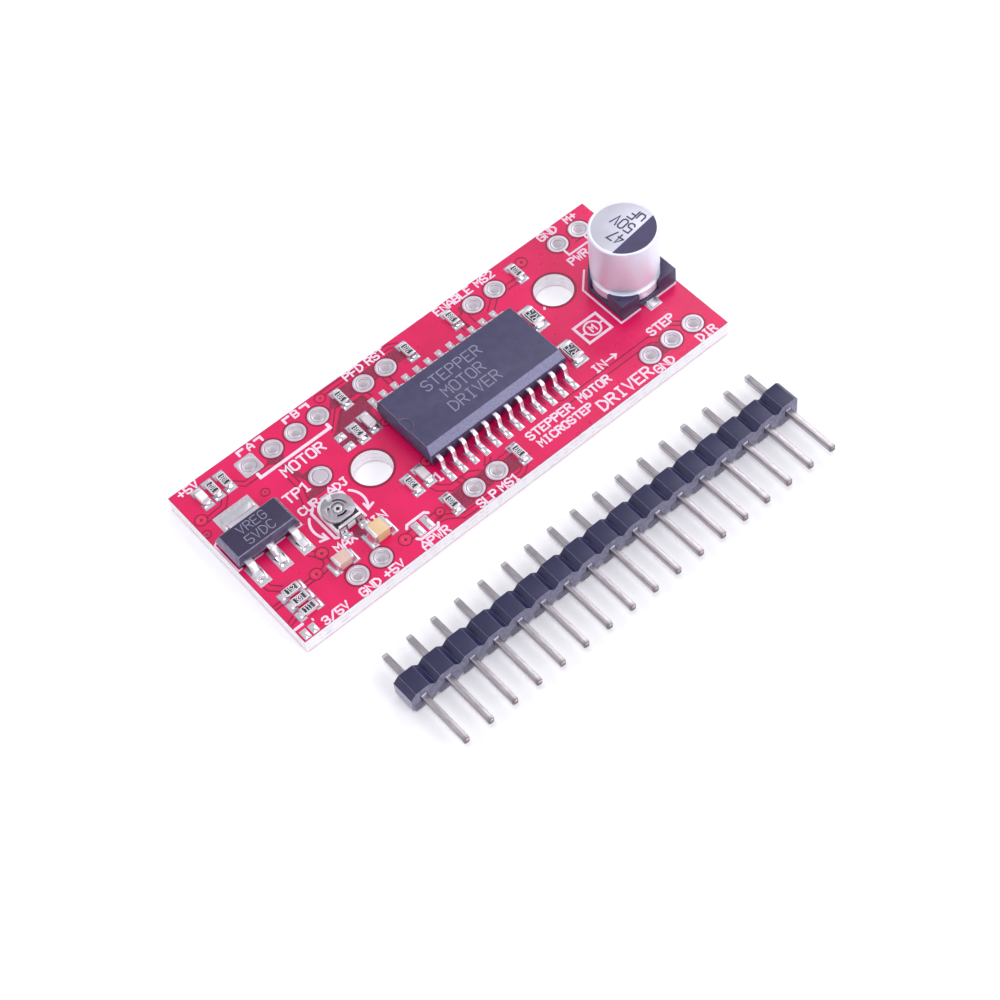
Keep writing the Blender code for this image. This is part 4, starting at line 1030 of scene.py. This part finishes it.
def make_trimmer():
    """The open trimmer's details, about the middle of its wheel."""
    centre = frame["record"]["behaviour"]["joints"][0]["pos_m"]
    x, y = centre[0] / MM, centre[1] / MM
    base_low, base_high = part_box("trimmer_base")
    front, seat, top = base_low.y / MM, base_low.z / MM, base_high.z / MM
    face = seat + 0.7

    refined("trimmer_base", CERAMIC, 0.05)
    refined("trimmer_rotor", ROTOR_METAL, 0.03, edge=ROTOR_EDGE)
    refined("trimmer_rivet", BRASS, 0.02)
    # a dark disc down in the rivet's hollow is painted shadow
    hub = Sculpt("rivet_hollow_painted_shadow")
    rivet_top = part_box("trimmer_rivet")[1].z / MM
    hub.lathe((x, y), [(0.17, rivet_top - 0.21), (0.165, rivet_top - 0.17), (0.05, rivet_top - 0.16)], DARK_TRACK_AND_SHADE,
              20, open_middle=False)
    hub.piece("rivet_brass")

    # the dark resistive track lies on the ceramic, and shows beside the wheel; the dark piece there is partly
    # the track and partly painted shadow under the wheel's edge
    track = Sculpt("resistive_track_and_painted_shade")
    corners = ((-1, -0.55), (-1, -1.49), (1, -1.49), (1, -0.55))
    outline = [(x + side * 1.24, y + depth) for side, depth in corners]
    track.prism(outline, (face - TOP + SUNK, face - TOP + 0.012), DARK_TRACK_AND_SHADE)
    track.piece("black_epoxy")

    # the bright top of the ridge in front of the wheel, and below it a dark box on the front wall as painted
    # shadow, and a pale block
    ridge = Sculpt("ridge_strip")
    ridge.box((x - 1.14, y - 1.71, top - 0.12), (x + 1.14, y - 1.51, top + 0.02), ROTOR_EDGE, 0.03)
    ridge.box((x - 1.22, front - 0.03, seat + 0.05), (x + 1.22, front + 0.02, top - 0.1), TRIMMER_WALL_SHADE,
              0.01, 1)
    ridge.box((x - 0.36, front - 0.08, seat + 0.2), (x + 0.44, front + 0.01, top - 0.2), CERAMIC, 0.03)
    ridge.piece("rotor_steel")

    # the front terminals are folded up; on each, a small dark box stands for its round hole as painted shade
    clips = Sculpt("trimmer_clips")
    path = [(-2.12, 0.06), (-1.95, 0.06), (-1.86, 0.12), (-1.82, 0.24), (-1.82, 0.56), (-1.76, 0.70),
            (-1.62, 0.755), (-1.5, 0.75)]
    for offset in TRIMMER_CLIPS:
        clips.strip(path, 0.1, 0.31, LEAD, (x + offset, y, seat))
        clips.box((-0.11, -1.885, seat + 0.28), (0.11, -1.845, seat + 0.5), DARK_TRACK_AND_SHADE, 0.019, 1,
                  about=(x + offset, y))
    clips.piece("tinned_copper", ("trimmer_terminal_left", "trimmer_terminal_right"))

    soldering = Sculpt("trimmer_soldering")
    front_and_back = [(offset, -math.pi / 2) for offset in TRIMMER_CLIPS] + [(TRIMMER_WIPER, math.pi / 2)]
    for offset, turn in front_and_back:
        soldering.pad((1.5, -0.42), (2.5, 0.42), turn, (x + offset, y), 0.03)
        soldering.fillet(2.05, 2.42, 0.3, 0.38, 0.16, turn=turn, about=(x + offset, y), base=0.025)
    soldering.piece("tinned_copper")


def make_header_details():
    """Each segment's front has a lip above its pin with a painted highlight, cheeks beside it in painted
    shade, and a raised block in the painted light of the front face.
    """
    lips = Sculpt("pin_lips")
    cheek, lip_height = 0.09, 0.19
    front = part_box("header_insulator")[0].y / MM
    inside = front + 0.02
    for number in range(1, HEADER_PINS + 1):
        low, high = box_mm(f"header_pin_{number:02d}")
        middle, lip_top = (low.x + high.x) / 2, high.z + lip_height
        lips.box((middle - 1.03, front - 0.045, 0.12), (middle - 0.04, inside, low.z - 0.04),
                 HEADER_BLOCK_LIT, 0.03)
        for side in (low.x - cheek, high.x):
            lips.box((side, front - 0.04, low.z), (side + cheek, inside, lip_top - 0.03),
                     HEADER_CHEEK_SHADE, 0.02, 1)
        lips.box((low.x + 0.005, front - 0.05, high.z), (high.x - 0.005, inside, lip_top),
                 HEADER_LIP_HIGHLIGHT, 0.02, 1)
    lips.piece("header_plastic", body="header")


# ---------------------------------------------------------------- assembly

make_board()
make_pads()
make_copper()
make_printing()
make_bare_pads()

for part in RESISTOR_CODES:
    make_resistor(part)
make_ceramic_capacitor("capacitor_supply_left", TAN, 0.32)
make_ceramic_capacitor("capacitor_supply_right", SAND, 0.36)
make_ceramic_capacitor("capacitor_timing_back", PALE_CERAMIC, 0.34)
make_ceramic_capacitor("capacitor_timing_front", PALE_CERAMIC, 0.34)
make_power_led()

# the driver case's bevelled edges and its front chamfer carry painted highlights
refined("driver_case", EPOXY, 0.045, EPOXY_EDGE_HIGHLIGHT, [((0, -1, 1), EPOXY_CHAMFER_HIGHLIGHT)])
refined("driver_leads_front", LEAD, 0.03)
refined("driver_leads_back", LEAD, 0.03)
repaint("driver_die", SILICON)
repaint("driver_die_pad", LEAD)
make_driver_soldering()
make_marks("driver_marking", ("STEPPER", "MOTOR", "DRIVER"), "driver_case", (-0.6, 0.35), 1.12, 1.62, 0.12)

# the regulator case's bevelled edges carry a painted highlight, and its front wall and left side painted
# light
refined("regulator_case", EPOXY_DARK, 0.06, EPOXY_EDGE_HIGHLIGHT,
        [((0, -1, 0.15), EPOXY_WALL_LIT), ((-1, 0, 0.15), EPOXY_SIDE_LIT)])
refined("regulator_tab", LEAD, 0.012, segments=1)
for part in ("regulator_lead_input", "regulator_lead_adjust"):
    refined(part, LEAD, 0.03)
make_regulator_soldering()
make_marks("regulator_marking", ("VREG", "5VDC"), "regulator_case", (0.0, 0.05), 0.9, 1.25, 0.09)

make_capacitor()
refined("cap_base", BASE_PLASTIC, 0.06)
repaint("cap_seal", RUBBER)
repaint("cap_wound_element", FOIL)
refined("cap_lead_negative", LEAD, 0.03)
refined("cap_lead_positive", LEAD, 0.03)

refined("trimmer_terminal_wiper", LEAD, 0.02)
make_trimmer()

# the insulator's bevelled edges carry a painted highlight, and its front faces painted light
refined("header_insulator", HEADER_PLASTIC, 0.055, HEADER_EDGE_HIGHLIGHT,
        [((0, -1, 0), HEADER_FRONT_LIT), ((-1, 0, 0), HEADER_END)])
for number in range(1, HEADER_PINS + 1):
    refined(f"header_pin_{number:02d}", PIN_METAL, 0.035, PIN_EDGE)
make_header_details()


# ---------------------------------------------------------------- stage

FLOOR_GLOW = 0.11  # the photograph's floor is lit until it is nearly white, even in its shadows
SKY_STRENGTH = 0.72
# the flat tops mirror this part of the sky towards the camera, so it is darker there
MIRRORED = Vector((-0.31, -0.46, 0.83)).normalized()
LIGHTS = (  # name, place in metres, size in metres, power in watts
    ("softbox_top", (-0.12, -0.12, 0.6), 0.22, 1.05),
    ("softbox_right", (0.45, 0.2, 0.42), 0.34, 0.9),
    ("softbox_front", (0.18, -0.5, 0.3), 0.25, 1.1),
    ("softbox_left", (-0.5, 0.05, 0.25), 0.3, 0.35),
    ("softbox_back", (0.25, 0.7, 0.14), 0.13, 0.1),
)
CAMERA_PLACE = (-0.0600030, -0.0952965, 0.1543555)
CAMERA_RIGHT = Vector((0.757996, -0.647467, -0.078920))
CAMERA_FORWARD = Vector((0.309212, 0.463233, -0.830544))
CAMERA_LENS = 78.37


def make_floor():
    finish = surface("floor_white", (0.93, 0.93, 0.95), (0.91, 0.91, 0.935), 0.7, grain=0.4, patch=0.02,
                     bump_depth=0.002)
    shader = finish.node_tree.nodes["Principled BSDF"]
    shader.inputs["Emission Color"].default_value = (1.0, 0.985, 1.0, 1.0)
    shader.inputs["Emission Strength"].default_value = FLOOR_GLOW
    bpy.ops.mesh.primitive_grid_add(x_subdivisions=2, y_subdivisions=2, size=3.0, location=(0, 0, -0.00005))
    floor = bpy.context.object
    floor.name = "floor"
    floor.data.materials.append(finish)


def make_sky():
    world = bpy.data.worlds.new("studio")
    bpy.context.scene.world = world
    world.use_nodes = True
    tree = world.node_tree
    background = tree.nodes["Background"]
    background.inputs["Strength"].default_value = SKY_STRENGTH
    towards = node(tree, "VectorMath", operation="DOT_PRODUCT")
    towards.inputs[1].default_value = MIRRORED
    tree.links.new(node(tree, "TexCoord").outputs["Generated"], towards.inputs[0])
    dark = spread(tree, towards.outputs["Value"], 0.0, 1.0, 0.72, 0.95)
    sky = blend_colours(tree, dark, (0.95, 0.95, 1.0), (0.30, 0.29, 0.36))
    tree.links.new(sky, background.inputs["Color"])
    bpy.context.scene.view_settings.view_transform = "Standard"


def make_lights():
    """Square soft lights, all turned towards the board."""
    for name, place, size, power in LIGHTS:
        data = bpy.data.lights.new(name, "AREA")
        data.shape = "SQUARE"
        data.size = size
        data.energy = power
        lamp = bpy.data.objects.new(name, data)
        lamp.location = place
        lamp.rotation_euler = (-Vector(place)).to_track_quat("-Z", "Y").to_euler()
        bpy.context.scene.collection.objects.link(lamp)


def make_camera():
    """The camera looks down over the front left corner of the board."""
    data = bpy.data.cameras.new("camera")
    data.sensor_width = 36.0
    data.lens = CAMERA_LENS
    data.clip_start, data.clip_end = 0.001, 10.0
    camera = bpy.data.objects.new("camera", data)
    up = CAMERA_RIGHT.cross(CAMERA_FORWARD)
    turn = Matrix((CAMERA_RIGHT, up, -CAMERA_FORWARD)).transposed().to_4x4()
    camera.matrix_world = Matrix.Translation(CAMERA_PLACE) @ turn
    bpy.context.scene.collection.objects.link(camera)
    bpy.context.scene.camera = camera


make_floor()
make_sky()
make_lights()
make_camera()
